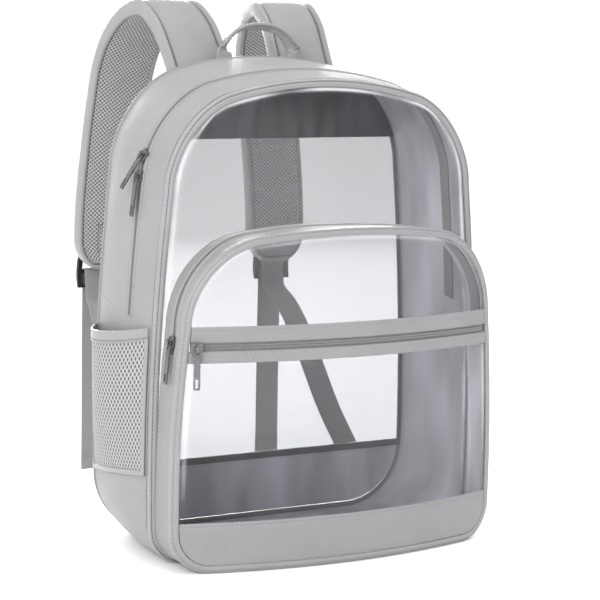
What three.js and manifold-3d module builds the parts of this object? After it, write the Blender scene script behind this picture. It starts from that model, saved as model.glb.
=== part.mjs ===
// A clear backpack that stands on its base: a clear front window in a bound arch, a bowed clear front
// pocket with an arched zip and a level zip, two mesh side pockets, a top handle and two padded straps.
// Millimetres. +Z is up, -Y is the front, +X is the right side as seen from the front.
// The origin is at the middle of the main compartment's base, on the surface that the bag stands on.
import * as THREE from 'three';
import { mergeVertices } from 'three/addons/utils/BufferGeometryUtils.js';
import Module from 'manifold-3d';

const wasm = await Module();
wasm.setup();

// Driving dimensions
const clearance = 0.3;
const mainDepth = 115;
const wall = 1.6;
const clearSheet = 0.9;
const liningThickness = 1.0;

// Arched outlines. half widths, corner radii, heights and the crown of the top edge
const mainSeam = {
  halfBottom: 156, halfTop: 144.4, bow: 4.8, bottomRadius: 25, shoulderRadius: 54.2, crown: 33.2, bottom: 6.8, top: 403,
};
const backEdge = {
  halfBottom: 161, halfTop: 148.5, bow: 3.5, bottomRadius: 60, shoulderRadius: 66, crown: 33, bottom: 0, top: 425,
};
const pocketSeam = {
  halfBottom: 153, halfTop: 145.2, bow: 2.9, bottomRadius: 27, shoulderRadius: 57.9, crown: 16.2, bottom: 6.8, top: 281.4,
};
const mainBow = 2;
const pocketBow = 24.7;
const pocketDepth = 34.5;
const gussetInset = 1.2;
const sideBulge = 6;
const topBulgeShare = 0.4;

// Edge binding around the windows
const binding = { width: 6.5, lip: 1.0, depth: 5.4, slotDepth: 4, chamfer: 1.1 };
const backBinding = { width: 5, depth: 2.2, proud: 0.9 };

// Zips
const zip = { slot: 5, tape: 14, tapeThickness: 0.8, coilWidth: 3, coilProud: 1.3 };
const mainZipPlace = 42;
const mainZipEnd = 0.6;
const pocketZipPlace = 18;
const pocketZipEnd = 0.86;

// Front pocket face, heights above the floor
const baseStripTop = 43.4;
const bandBottom = 177.9;
const bandTop = 208.4;
const bandZipHeight = 191.5;
const windowTuck = 6;

// Back panel
const yokeBottom = 352;
const backBaseTop = 62;

// Side pockets
const sidePocket = {
  seamFront: 78, seamBack: 64, hemFront: 203, hemBack: 192, hem: 11, sag: 4, bulge: 13, rearward: 1.5, mesh: 1.2,
};
const hemThickness = 2.2;

// Straps
const strap = {
  width: 61, thickness: 11, edge: 7.5, edgeProud: 0.8, edgeGap: 0.6, mesh: 1.2, reach: 126, endRounding: 28,
};
const webbing = { width: 25, thickness: 1.4, hem: 17, tailEnd: 26 };
const buckle = { rail: 4.5, slotPlay: 2, bar: 1.7, height: 30, bowing: 3.2, railDepth: 4.4, overlap: 10, outward: 3.5 };
const anchor = { width: 40, height: 32, thickness: 2.4, rise: 26 };

// Top handle
const handle = { span: 72, rise: 29, width: 15, thickness: 3, lean: -18 };

// Zip sliders and their pulls
const slider = { length: 10, width: 8, body: 2.4, bridge: 2.6 };
const pull = { length: 35, width: 5.6, thickness: 1.4, ring: 7, pin: 0.75, slotLength: 7, slotWidth: 2.4 };

const sheetLook = { color: 0xeef2f4, roughness: 0.06, metalness: 0, transparent: true, opacity: 0.3 };
const colours = {
  leather: new THREE.MeshStandardMaterial({ color: 0xc4c4c5, roughness: 0.55, metalness: 0 }),
  clear: new THREE.MeshStandardMaterial(sheetLook),
  lining: new THREE.MeshStandardMaterial({ color: 0x58565a, roughness: 0.6, metalness: 0 }),
  mesh: new THREE.MeshStandardMaterial({ color: 0xb4b4b6, roughness: 0.8, metalness: 0 }),
  web: new THREE.MeshStandardMaterial({ color: 0x86868a, roughness: 0.8, metalness: 0 }),
  coil: new THREE.MeshStandardMaterial({ color: 0xa8a8aa, roughness: 0.6, metalness: 0 }),
  plastic: new THREE.MeshStandardMaterial({ color: 0x161618, roughness: 0.4, metalness: 0 }),
  metal: new THREE.MeshStandardMaterial({ color: 0x6d6d72, roughness: 0.3, metalness: 1 }),
};

const bag = new THREE.Group();
const frontPlane = -mainDepth / 2;
const backPlane = mainDepth / 2;

// Closed solids from points and triangles
function solid(points, triangles) {
  const geometry = new THREE.BufferGeometry();
  geometry.setAttribute('position', new THREE.Float32BufferAttribute(points.flat(), 3));
  geometry.setIndex(triangles.flat());
  const merged = mergeVertices(geometry, 1e-3);
  const index = merged.getIndex().array;
  const kept = [];
  for (let i = 0; i < index.length; i += 3) {
    const [a, b, c] = [index[i], index[i + 1], index[i + 2]];
    if (a !== b && b !== c && c !== a) kept.push([a, b, c]);
  }
  const position = merged.getAttribute('position');
  const corner = (i) => new THREE.Vector3().fromBufferAttribute(position, i);
  let volume = 0;
  for (const [a, b, c] of kept) volume += corner(a).dot(corner(b).cross(corner(c)));
  const outward = volume < 0 ? kept.map(([a, b, c]) => [a, c, b]) : kept;
  merged.setIndex(outward.flat());
  return merged;
}

// A sheet of two faces over a grid of (u, v), closed along its four edges
function slab(us, vs, outer, inner) {
  const points = [];
  const triangles = [];
  const columns = vs.length;
  for (const face of [outer, inner]) {
    for (const u of us) {
      for (const v of vs) points.push(face(u, v));
    }
  }
  const second = us.length * columns;
  const at = (i, j, side) => side * second + i * columns + j;
  const quad = (a, b, c, d) => triangles.push([a, b, c], [a, c, d]);
  for (let i = 0; i + 1 < us.length; i += 1) {
    for (let j = 0; j + 1 < columns; j += 1) {
      quad(at(i, j, 0), at(i + 1, j, 0), at(i + 1, j + 1, 0), at(i, j + 1, 0));
      quad(at(i, j, 1), at(i, j + 1, 1), at(i + 1, j + 1, 1), at(i + 1, j, 1));
    }
    const last = columns - 1;
    quad(at(i, 0, 0), at(i, 0, 1), at(i + 1, 0, 1), at(i + 1, 0, 0));
    quad(at(i, last, 0), at(i + 1, last, 0), at(i + 1, last, 1), at(i, last, 1));
  }
  const end = us.length - 1;
  for (let j = 0; j + 1 < columns; j += 1) {
    quad(at(0, j, 0), at(0, j + 1, 0), at(0, j + 1, 1), at(0, j, 1));
    quad(at(end, j, 0), at(end, j, 1), at(end, j + 1, 1), at(end, j + 1, 0));
  }
  return solid(points, triangles);
}

// A body swept through rings of points, closed on itself or capped with the profile's own triangles
function sweep(rings, profile) {
  const count = rings[0].length;
  const points = rings.flat();
  const triangles = [];
  const closed = !profile;
  const steps = closed ? rings.length : rings.length - 1;
  for (let i = 0; i < steps; i += 1) {
    const next = (i + 1) % rings.length;
    for (let j = 0; j < count; j += 1) {
      const k = (j + 1) % count;
      const [a, b, c, d] = [i * count + j, next * count + j, next * count + k, i * count + k];
      triangles.push([a, b, c], [a, c, d]);
    }
  }
  if (!closed) {
    const flat = profile.map(([x, y]) => new THREE.Vector2(x, y));
    const faces = THREE.ShapeUtils.triangulateShape(flat, []);
    const turned = THREE.ShapeUtils.isClockWise(flat);
    const last = (rings.length - 1) * count;
    for (const [a, b, c] of faces) {
      const [p, q, r] = turned ? [a, c, b] : [a, b, c];
      triangles.push([p, q, r], [last + p, last + r, last + q]);
    }
  }
  return solid(points, triangles);
}

function add(name, geometry, material) {
  const mesh = new THREE.Mesh(geometry, material.clone());
  mesh.name = name;
  bag.add(mesh);
  return mesh;
}

// Outlines. s runs 0 to 5 from the bottom middle to the top middle, one unit a stretch, and mirrors when negative
const steps = { bottom: 2, corner: 5, side: 5, shoulder: 7, top: 4 };

function grow(outline, by) {
  return {
    ...outline,
    halfBottom: outline.halfBottom + by,
    halfTop: outline.halfTop + by,
    bottomRadius: outline.bottomRadius + by,
    shoulderRadius: outline.shoulderRadius + by,
    bottom: outline.bottom - by,
    top: outline.top + by,
  };
}

function outlinePoint(o, s) {
  const share = Math.abs(s);
  const stretch = Math.min(Math.floor(share), 4);
  const f = share - stretch;
  const shoulderFoot = o.top - o.shoulderRadius - o.crown;
  const lift = (x) => o.crown * (1 - (x / o.halfTop) ** 2);
  let x = 0;
  let z = 0;
  if (stretch === 0) {
    x = f * (o.halfBottom - o.bottomRadius);
    z = o.bottom;
  } else if (stretch === 1) {
    const angle = (f * Math.PI) / 2;
    x = o.halfBottom - o.bottomRadius * (1 - Math.sin(angle));
    z = o.bottom + o.bottomRadius * (1 - Math.cos(angle));
  } else if (stretch === 2) {
    x = THREE.MathUtils.lerp(o.halfBottom, o.halfTop, f) + 4 * o.bow * f * (1 - f);
    z = THREE.MathUtils.lerp(o.bottom + o.bottomRadius, shoulderFoot, f);
  } else if (stretch === 3) {
    const angle = (f * Math.PI) / 2;
    x = o.halfTop - o.shoulderRadius * (1 - Math.cos(angle));
    z = shoulderFoot + o.shoulderRadius * Math.sin(angle) + lift(x);
  } else {
    x = (1 - f) * (o.halfTop - o.shoulderRadius);
    z = o.top - o.crown + lift(x);
  }
  return { x: s < 0 ? -x : x, z };
}

function stretchStations(from, to) {
  const all = [];
  Object.values(steps).forEach((count, stretch) => {
    for (let i = 0; i < count; i += 1) all.push(stretch + i / count);
  });
  all.push(5);
  const inside = all.filter((s) => s > from + 0.03 && s < to - 0.03);
  return [from, ...inside, to];
}

const wholeRing = [...stretchStations(0, 5), ...stretchStations(0, 5).slice(1, -1).reverse().map((s) => -s)];
const overArch = (from) => [...stretchStations(from, 5), ...stretchStations(from, 5).slice(0, -1).reverse().map((s) => -s)];
const underArch = (to) => [...stretchStations(0, to).slice(1).reverse().map((s) => -s), ...stretchStations(0, to)];

// The stretch share at a height, and the half width there
function stationAt(o, z) {
  let low = 1;
  let high = 5;
  for (let i = 0; i < 40; i += 1) {
    const middle = (low + high) / 2;
    if (outlinePoint(o, middle).z < z) low = middle;
    else high = middle;
  }
  return (low + high) / 2;
}

const halfAt = (o, z) => outlinePoint(o, stationAt(o, z)).x;

// The two bowed faces: how far forward each lies at a given x
const mainFace = (x) => frontPlane - mainBow * (1 - (x / pocketSeam.halfBottom) ** 2);
const pocketFace = (x) => frontPlane - pocketDepth - pocketBow * (1 - (x / pocketSeam.halfBottom) ** 2);

// The main body's side wall, lofted from behind the front binding to the back edge
const gussetFront = { ...grow(mainSeam, binding.width - gussetInset), bottom: 0 };

function bulgeAt(s, t) {
  const share = Math.abs(s);
  let amount = 0;
  if (share > 1 && share <= 3) amount = Math.min(share - 1, 1);
  if (share > 3) amount = THREE.MathUtils.lerp(1, topBulgeShare, Math.min(share - 3, 1));
  return sideBulge * amount * 4 * t * (1 - t);
}

function gussetPoint(s, depth, inset) {
  const t = depth / mainDepth;
  const front = outlinePoint(grow(gussetFront, -inset), s);
  const back = outlinePoint(grow(backEdge, -inset), s);
  const out = outlinePoint(grow(gussetFront, 1), s);
  const base = outlinePoint(gussetFront, s);
  const bulge = bulgeAt(s, t);
  const x = THREE.MathUtils.lerp(front.x, back.x, t) + bulge * (out.x - base.x);
  const z = THREE.MathUtils.lerp(front.z, back.z, t) + bulge * (out.z - base.z);
  const y = THREE.MathUtils.lerp(mainFace(x), backPlane, t);
  return [x, y, z];
}

function span(from, to, count) {
  return Array.from({ length: count + 1 }, (_, i) => from + ((to - from) * i) / count);
}

const gussetStrip = (stations, from, to, count) => slab(
  stations,
  span(from, to, count),
  (s, d) => gussetPoint(s, d, 0),
  (s, d) => gussetPoint(s, d, wall),
);

// A zip lies under the two lips of the wall, with its coil standing up in the slot between them
const zipProfile = (() => {
  const tape = zip.tape / 2;
  const coil = zip.coilWidth / 2;
  const top = wall + clearance;
  return [
    [-tape, top], [-coil - 0.4, top], [-coil, top - zip.coilProud], [coil, top - zip.coilProud],
    [coil + 0.4, top], [tape, top], [tape, top + zip.tapeThickness], [-tape, top + zip.tapeThickness],
  ];
})();

// Binding around a window: two lips that hold the sheet's edge between them
const slotOpen = clearSheet + 2 * clearance;
const bindingProfile = [
  [0, -binding.lip + 0.2],
  [binding.width - binding.chamfer, -binding.lip],
  [binding.width, binding.chamfer - binding.lip],
  [binding.width, binding.depth - binding.chamfer],
  [binding.width - binding.chamfer, binding.depth],
  [clearance * 2, binding.depth],
  [clearance * 2, slotOpen],
  [binding.slotDepth, slotOpen],
  [binding.slotDepth, 0],
  [0, 0],
];

const bindingRing = (seam, face) => sweep(wholeRing.map((s) => bindingProfile.map(([w, d]) => {
  const { x, z } = outlinePoint(grow(seam, w), s);
  return [x, face(x) + d, z];
})));

// A sheet inside an outline, from one height to another, at a depth behind the face
function panel(outline, face, depth, thickness, from, to, columns) {
  const rows = stretchStations(stationAt(outline, from), to >= outline.top ? 5 : stationAt(outline, to));
  const point = (s, u, back) => {
    const edge = outlinePoint(outline, s);
    const x = edge.x * u;
    return [x, face(x) + depth + back, edge.z];
  };
  return slab(rows, span(-1, 1, columns), (s, u) => point(s, u, 0), (s, u) => point(s, u, thickness));
}

// Main body
function mainBody() {
  const start = binding.depth + clearance;
  const end = mainDepth - clearance;
  const split = 2 + mainZipEnd;
  const gap = clearance / (outlinePoint(mainSeam, 3).z - outlinePoint(mainSeam, 2).z);
  const lipFront = mainZipPlace - zip.slot / 2;
  const lipBack = mainZipPlace + zip.slot / 2;
  add('gusset_front', gussetStrip(overArch(split), start, lipFront, 2), colours.leather);
  add('gusset_rear', gussetStrip(overArch(split), lipBack, end, 3), colours.leather);
  add('gusset_lower', gussetStrip(underArch(split - gap), start, end, 5), colours.leather);
  const stations = overArch(split);
  const rings = stations.map((s) => zipProfile.map(([y, inset]) => gussetPoint(s, mainZipPlace + y, inset)));
  add('main_zip', sweep(rings, zipProfile), colours.coil);
  add('main_binding', bindingRing(mainSeam, mainFace), colours.leather);
  const sheet = grow(mainSeam, binding.slotDepth - clearance);
  add('main_window', panel(sheet, mainFace, clearance, clearSheet, sheet.bottom, sheet.top, 4), colours.clear);
}

// Back of the bag
function backPanel() {
  const flat = () => backPlane;
  const inner = grow(backEdge, -wall - clearance);
  const outer = grow(backEdge, -backBinding.width);
  const ring = [
    [-backBinding.width, clearance], [backBinding.proud - 0.6, clearance], [backBinding.proud, clearance + 0.6],
    [backBinding.proud, clearance + backBinding.depth - 0.6], [backBinding.proud - 0.6, clearance + backBinding.depth],
    [-backBinding.width, clearance + backBinding.depth],
  ];
  const lifted = { ...backEdge, bottom: backEdge.bottom + backBinding.proud };
  add('back_binding', sweep(wholeRing.map((s) => ring.map(([w, d]) => {
    const { x, z } = outlinePoint(grow(lifted, w), s);
    return [x, backPlane + d, z];
  }))), colours.leather);
  const window = grow(inner, -clearance);
  const lining = -clearSheet - clearance - liningThickness;
  add('back_window', panel(window, flat, -clearSheet, clearSheet, backBaseTop - windowTuck, window.top, 2), colours.clear);
  add('yoke_lining', panel(window, flat, lining, liningThickness, yokeBottom, window.top, 2), colours.lining);
  const facing = { ...grow(outer, -clearance), bottom: outer.bottom + backBinding.proud + clearance };
  add('back_yoke', panel(facing, flat, clearance, wall, yokeBottom, facing.top, 2), colours.leather);
  add('back_base', panel(facing, flat, clearance, wall, facing.bottom, backBaseTop, 2), colours.leather);
}

// Front pocket
function frontPocket() {
  const outline = grow(pocketSeam, binding.width - gussetInset);
  const rear = (x) => mainFace(x) - binding.lip - clearance;
  const front = (x) => pocketFace(x) + binding.depth + clearance;
  // an edge is either a share of the depth or a distance in front of the main body
  const yAt = (x, edge) => {
    if (edge.share === undefined) return rear(x) - edge.before;
    return THREE.MathUtils.lerp(front(x), rear(x), edge.share);
  };
  // share runs from the front binding to the main body
  const point = (s, share, inset) => {
    const { x, z } = outlinePoint(grow(outline, -inset), s);
    return [x, THREE.MathUtils.lerp(front(x), rear(x), share), z];
  };
  const edgePoint = (s, v, from, to, inset) => {
    const [x, , z] = point(s, 0, inset);
    return [x, THREE.MathUtils.lerp(yAt(x, from), yAt(x, to), v), z];
  };
  const strip = (stations, from, to, count) => slab(
    stations,
    span(0, 1, count),
    (s, v) => edgePoint(s, v, from, to, 0),
    (s, v) => edgePoint(s, v, from, to, wall),
  );
  const split = 2 + pocketZipEnd;
  const gap = clearance / (outlinePoint(outline, 3).z - outlinePoint(outline, 2).z);
  const arch = overArch(split);
  const lips = { front: { before: pocketZipPlace + zip.slot / 2 }, back: { before: pocketZipPlace - zip.slot / 2 } };
  add('pocket_gusset_front', strip(arch, { share: 0 }, lips.front, 1), colours.leather);
  add('pocket_gusset_rear', strip(arch, lips.back, { share: 1 }, 1), colours.leather);
  add('pocket_gusset_lower', strip(underArch(split - gap), { share: 0 }, { share: 1 }, 1), colours.leather);
  const rings = arch.map((s) => zipProfile.map(([y, inset]) => {
    const [x, , z] = point(s, 0, inset);
    return [x, rear(x) - pocketZipPlace + y, z];
  }));
  add('pocket_zip', sweep(rings, zipProfile), colours.coil);
  add('pocket_binding', bindingRing(pocketSeam, pocketFace), colours.leather);

  const sheet = grow(pocketSeam, binding.slotDepth - clearance);
  const inside = grow(pocketSeam, -clearance);
  const columns = 12;
  const layer = (name, from, to) => {
    add(name, panel(inside, pocketFace, -wall, wall, from, to, columns), colours.leather);
  };
  const clear = (name, from, to) => {
    add(name, panel(sheet, pocketFace, clearance, clearSheet, from, to, columns), colours.clear);
  };
  clear('pocket_window_lower', baseStripTop - windowTuck, bandBottom + windowTuck);
  clear('pocket_window_upper', bandTop - windowTuck, sheet.top);
  layer('pocket_base_strip', inside.bottom, baseStripTop);
  layer('pocket_band_lower', bandBottom, bandZipHeight - zip.slot / 2);
  layer('pocket_band_upper', bandZipHeight + zip.slot / 2, bandTop);
  // the level zip's tape lies in the layer of the clear sheets, between their tucked edges
  const tapeTop = bandTop - windowTuck - clearance;
  const tapeBottom = bandBottom + windowTuck + clearance;
  const coil = zip.coilWidth / 2;
  const profile = [
    [tapeBottom, clearance], [bandZipHeight - coil - 0.4, clearance], [bandZipHeight - coil, clearance - zip.coilProud],
    [bandZipHeight + coil, clearance - zip.coilProud], [bandZipHeight + coil + 0.4, clearance], [tapeTop, clearance],
    [tapeTop, clearance + clearSheet], [tapeBottom, clearance + clearSheet],
  ];
  const reach = Math.min(halfAt(inside, tapeTop), halfAt(inside, tapeBottom)) - clearance;
  const bandRings = span(-reach, reach, columns).map((x) => profile.map(([z, d]) => [x, pocketFace(x) + d, z]));
  add('pocket_band_zip', sweep(bandRings, profile), colours.coil);
}

// Side pockets of mesh with a bound top hem, standing off the side wall
function sidePockets() {
  const frontDepth = binding.depth + 2;
  const backDepth = mainDepth - 2;
  const wallAt = (z, depth) => {
    const t = depth / mainDepth;
    return THREE.MathUtils.lerp(halfAt(gussetFront, z), halfAt(backEdge, z), t) + bulgeAt(2.5, t);
  };
  for (const [side, sign] of [['left', -1], ['right', 1]]) {
    const lower = (t) => THREE.MathUtils.lerp(sidePocket.seamFront, sidePocket.seamBack, t);
    const dip = (t) => sidePocket.sag * 4 * t * (1 - t);
    const upper = (t) => THREE.MathUtils.lerp(sidePocket.hemFront, sidePocket.hemBack, t) - dip(t);
    const fullness = (t, v) => Math.sin(Math.PI * t ** sidePocket.rearward) ** 0.8 * Math.sin((Math.PI / 2) * v) ** 0.7;
    const standOff = (t, v) => 2 * clearance + sidePocket.bulge * fullness(t, v);
    const point = (t, v, z, out) => {
      const depth = THREE.MathUtils.lerp(frontDepth, backDepth, t);
      const x = wallAt(z, depth) + standOff(t, v) + out;
      const y = THREE.MathUtils.lerp(mainFace(x), backPlane, depth / mainDepth);
      return [sign * x, y, z];
    };
    const meshTop = (t) => upper(t) - sidePocket.hem - clearance;
    const share = (t, z) => (z - lower(t)) / (upper(t) - lower(t));
    const meshPoint = (t, v, out) => {
      const z = THREE.MathUtils.lerp(lower(t), meshTop(t), v);
      return point(t, share(t, z), z, out);
    };
    const hemPoint = (t, v, out) => {
      const z = upper(t) - sidePocket.hem * (1 - v);
      return point(t, share(t, z), z, out);
    };
    const along = span(0, 1, 8);
    const mesh = slab(along, span(0, 1, 5), (t, v) => meshPoint(t, v, sidePocket.mesh), (t, v) => meshPoint(t, v, 0));
    add(`side_mesh_${side}`, mesh, colours.mesh);
    const hem = slab(along, [0, 1], (t, v) => hemPoint(t, v, hemThickness), (t, v) => hemPoint(t, v, 0));
    add(`side_hem_${side}`, hem, colours.leather);
  }
}

// Shoulder straps. side is a share of the back edge's half width, back of the reach, up of the bag's height
const strapRoute = [
  { side: 0.350, back: 0.000, up: 0.925 },
  { side: 0.358, back: 0.055, up: 0.962 },
  { side: 0.366, back: 0.155, up: 1.010 },
  { side: 0.383, back: 0.300, up: 1.066 },
  { side: 0.404, back: 0.500, up: 1.099 },
  { side: 0.431, back: 0.690, up: 1.087 },
  { side: 0.458, back: 0.820, up: 1.058 },
  { side: 0.485, back: 0.920, up: 1.018 },
  { side: 0.512, back: 0.985, up: 0.960 },
  { side: 0.538, back: 1.000, up: 0.890 },
  { side: 0.578, back: 1.000, up: 0.780 },
  { side: 0.610, back: 1.000, up: 0.655 },
  { side: 0.618, back: 0.995, up: 0.520 },
];
const backFace = backPlane + clearance + wall;

function strapCurve(sign) {
  const start = backFace + clearance + strap.thickness / 2 + strap.edgeProud;
  return new THREE.CatmullRomCurve3(strapRoute.map((row) => new THREE.Vector3(
    sign * row.side * backEdge.halfTop,
    start + row.back * strap.reach,
    row.up * backEdge.top,
  )));
}

// A frame on a curve: along it, across it near to level, and out of the loop
function frameAt(curve, share) {
  const place = curve.getPointAt(share);
  const along = curve.getTangentAt(share);
  const across = new THREE.Vector3(1, 0, 0);
  across.addScaledVector(along, -across.dot(along)).normalize();
  const out = new THREE.Vector3().crossVectors(across, along).normalize();
  return { place, along, across, out };
}

function onFrame(frame, w, d) {
  const point = frame.place.clone().addScaledVector(frame.across, w).addScaledVector(frame.out, d);
  return point.toArray();
}

function straps() {
  const inner = strap.width / 2 - strap.edge;
  for (const [side, sign] of [['left', -1], ['right', 1]]) {
    const curve = strapCurve(sign);
    const length = curve.getLength();
    const endShare = 1 - strap.endRounding / length;
    const padEnd = 1 - (strap.edge + clearance) / length;
    const even = [...span(0, endShare, 21), ...span(endShare, 1, 4).slice(1)];
    const shares = [...even.filter((share) => Math.abs(share - padEnd) > 0.004), padEnd].sort((a, b) => a - b);
    // the end is rounded: its half width falls off as a quarter of an ellipse
    const halfWidth = (share, full) => {
      if (share <= endShare) return full;
      const f = (share - endShare) / (1 - endShare);
      return full * Math.sqrt(Math.max(1 - f * f * 0.9, 0.02));
    };
    const deep = strap.thickness / 2;
    const padShares = shares.filter((share) => share <= padEnd);
    const padProfile = (half) => [[-half, -deep], [half, -deep], [half, deep], [-half, deep]];
    const pad = padShares.map((share) => {
      const frame = frameAt(curve, share);
      const half = halfWidth(share, strap.width / 2) - strap.edge - strap.edgeGap;
      return padProfile(half).map(([w, d]) => onFrame(frame, w, d));
    });
    add(`strap_${side}`, sweep(pad, padProfile(inner)), colours.leather);
    const padHalf = (share) => halfWidth(share, strap.width / 2) - strap.edge - strap.edgeGap;
    const face = (share, u, d) => onFrame(frameAt(curve, share), u * padHalf(share), d);
    add(`strap_mesh_${side}`, slab(
      padShares,
      [-1, 1],
      (share, u) => face(share, u, -deep - clearance),
      (share, u) => face(share, u, -deep - clearance - strap.mesh),
    ), colours.mesh);
    add(`strap_binding_${side}`, strapBinding(curve, shares, halfWidth), colours.leather);
  }
}

// The binding runs down one edge of the pad, round its end and up the other
function strapBinding(curve, shares, halfWidth) {
  const low = -strap.thickness / 2 - clearance - strap.mesh;
  const high = strap.thickness / 2 + strap.edgeProud;
  const corner = (share, w, d) => onFrame(frameAt(curve, share), w, d);
  const inset = strap.edge / curve.getLength();
  const rings = [];
  const down = shares.map((share) => [share, 1]);
  const up = shares.slice().reverse().map((share) => [share, -1]);
  for (const [share, sign] of [...down, ...up]) {
    const outerHalf = halfWidth(share, strap.width / 2);
    const innerShare = Math.min(share, 1 - inset);
    const innerHalf = Math.max(halfWidth(innerShare, strap.width / 2) - strap.edge, 1);
    rings.push([
      corner(share, sign * outerHalf, low), corner(share, sign * outerHalf, high),
      corner(innerShare, sign * innerHalf, high), corner(innerShare, sign * innerHalf, low),
    ]);
  }
  return sweep(rings, [[0, 0], [0, 1], [1, 1], [1, 0]]);
}

// Joins closed geometries into one solid
function toManifold(geometry) {
  const bare = geometry.clone();
  bare.deleteAttribute('normal');
  bare.deleteAttribute('uv');
  const merged = mergeVertices(bare, 1e-4);
  return new wasm.Manifold(new wasm.Mesh({
    numProp: 3,
    vertProperties: new Float32Array(merged.getAttribute('position').array),
    triVerts: new Uint32Array(merged.getIndex().array),
  }));
}

function fromManifold(body) {
  const mesh = body.getMesh();
  const points = [];
  for (let i = 0; i < mesh.vertProperties.length; i += 3) {
    points.push(Array.from(mesh.vertProperties.slice(i, i + 3)));
  }
  const triangles = [];
  for (let i = 0; i < mesh.triVerts.length; i += 3) {
    triangles.push(Array.from(mesh.triVerts.slice(i, i + 3)));
  }
  return solid(points, triangles);
}

const joined = (geometries) => fromManifold(geometries.map(toManifold).reduce((whole, piece) => whole.add(piece)));

function box(x, y, z, at) {
  const geometry = new THREE.BoxGeometry(x, y, z);
  geometry.translate(...at);
  return geometry;
}

// A flat ribbon along points, with its width held near to a given direction at each point
function ribbon(path, width, thickness, acrossAt) {
  const rings = path.map((point, i) => {
    const before = path[Math.max(i - 1, 0)];
    const after = path[Math.min(i + 1, path.length - 1)];
    const along = after.clone().sub(before).normalize();
    const across = acrossAt(i).clone();
    across.addScaledVector(along, -across.dot(along)).normalize();
    const normal = new THREE.Vector3().crossVectors(across, along).normalize();
    const [w, t] = [width(i) / 2, thickness(i) / 2];
    return [[-w, -t], [w, -t], [w, t], [-w, t]].map(([a, b]) => (
      point.clone().addScaledVector(across, a).addScaledVector(normal, b).toArray()
    ));
  });
  return sweep(rings, [[-1, -1], [1, -1], [1, 1], [-1, 1]]);
}

// Ladder buckle behind the end of each strap: two bowed rails and three bars
function buckleBars(sign) {
  const end = strapCurve(sign).getPointAt(1);
  const rear = end.y + strap.thickness / 2 + strap.edgeProud;
  const topY = rear + 2 * clearance + webbing.thickness + buckle.bar;
  const pitch = (buckle.height - 2 * buckle.bar) / 2;
  const topZ = end.z + buckle.overlap;
  const at = (bow, down) => new THREE.Vector3(end.x + sign * buckle.outward, topY + bow * buckle.bowing, topZ - down * pitch);
  return { top: at(0, 0), middle: at(1, 1), bottom: at(0.4, 2), pitch };
}

function buckles() {
  const inner = webbing.width / 2 + buckle.slotPlay;
  for (const [side, sign] of [['left', -1], ['right', 1]]) {
    const { top, middle, bottom, pitch } = buckleBars(sign);
    const curve = new THREE.QuadraticBezierCurve3(
      top.clone().add(new THREE.Vector3(0, -0.2, buckle.bar)),
      middle.clone().multiplyScalar(2).sub(top.clone().add(bottom).multiplyScalar(0.5)),
      bottom.clone().add(new THREE.Vector3(0, -0.2, -buckle.bar)),
    );
    const rail = (from, to) => {
      const rings = span(0, 1, 8).map((share) => {
        const { y, z } = curve.getPoint(share);
        const deep = (buckle.railDepth / 2) * (1 - 0.35 * (2 * share - 1) ** 4);
        return [[from, -deep], [to, -deep], [to, deep], [from, deep]].map(([x, d]) => [top.x + x, y + d, z]);
      });
      return sweep(rings, [[0, 0], [1, 0], [1, 1], [0, 1]]);
    };
    const bars = [top, middle, bottom].map((place) => {
      const bar = new THREE.CylinderGeometry(buckle.bar, buckle.bar, 2 * inner + buckle.rail, 10);
      bar.rotateZ(Math.PI / 2);
      bar.translate(place.x, place.y, place.z);
      return bar;
    });
    const rails = [rail(-inner - buckle.rail, -inner), rail(inner, inner + buckle.rail)];
    add(`buckle_${side}`, joined([...rails, ...bars]), colours.plastic);
    add(`strap_end_web_${side}`, endWeb(top), colours.web);
    add(`webbing_${side}`, lowerWebbing(sign, middle, bottom, pitch), colours.web);
    add(`anchor_${side}`, anchorTab(sign, bottom, pitch), colours.leather);
  }
}

const turnRadius = buckle.bar + clearance + webbing.thickness / 2;
const level = new THREE.Vector3(1, 0, 0);

// The short web sewn to the back of the pad's end, looped under the buckle's top bar
function endWeb(bar) {
  const gap = webbing.thickness + clearance;
  const place = (y, z) => new THREE.Vector3(bar.x, bar.y + y, bar.z + z);
  const turn = span(Math.PI, 2 * Math.PI, 6).map((a) => place(turnRadius * Math.cos(a), turnRadius * Math.sin(a)));
  const path = [
    place(-turnRadius, webbing.hem), place(-turnRadius, webbing.hem / 2), ...turn,
    place(turnRadius, turnRadius), place(gap - turnRadius, turnRadius * 4), place(gap - turnRadius, webbing.hem),
  ];
  return ribbon(path, () => webbing.width, () => webbing.thickness, () => level);
}

// Where the lower web leaves the corner of the bag, and which way it goes
function anchorFrame(sign, bottom, pitch) {
  const base = new THREE.Vector3(sign * (backEdge.halfBottom - anchor.width), backFace, anchor.rise);
  const aim = bottom.clone().add(new THREE.Vector3(0, -turnRadius, -pitch)).sub(base).normalize();
  const across = level.clone().addScaledVector(aim, -level.dot(aim)).normalize();
  const normal = new THREE.Vector3().crossVectors(across, aim).normalize();
  const thick = 2 * anchor.thickness;
  base.y += clearance + (anchor.width / 2) * Math.abs(across.y) + (thick / 2) * Math.abs(normal.y);
  return { base, aim, across, thick };
}

function anchorTab(sign, bottom, pitch) {
  const { base, aim, across, thick } = anchorFrame(sign, bottom, pitch);
  const path = [0, 0.5, 1].map((share) => base.clone().addScaledVector(aim, share * anchor.height));
  const widths = [anchor.width, anchor.width, webbing.width + anchor.thickness];
  return ribbon(path, (i) => widths[i], () => thick, () => across);
}

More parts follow.
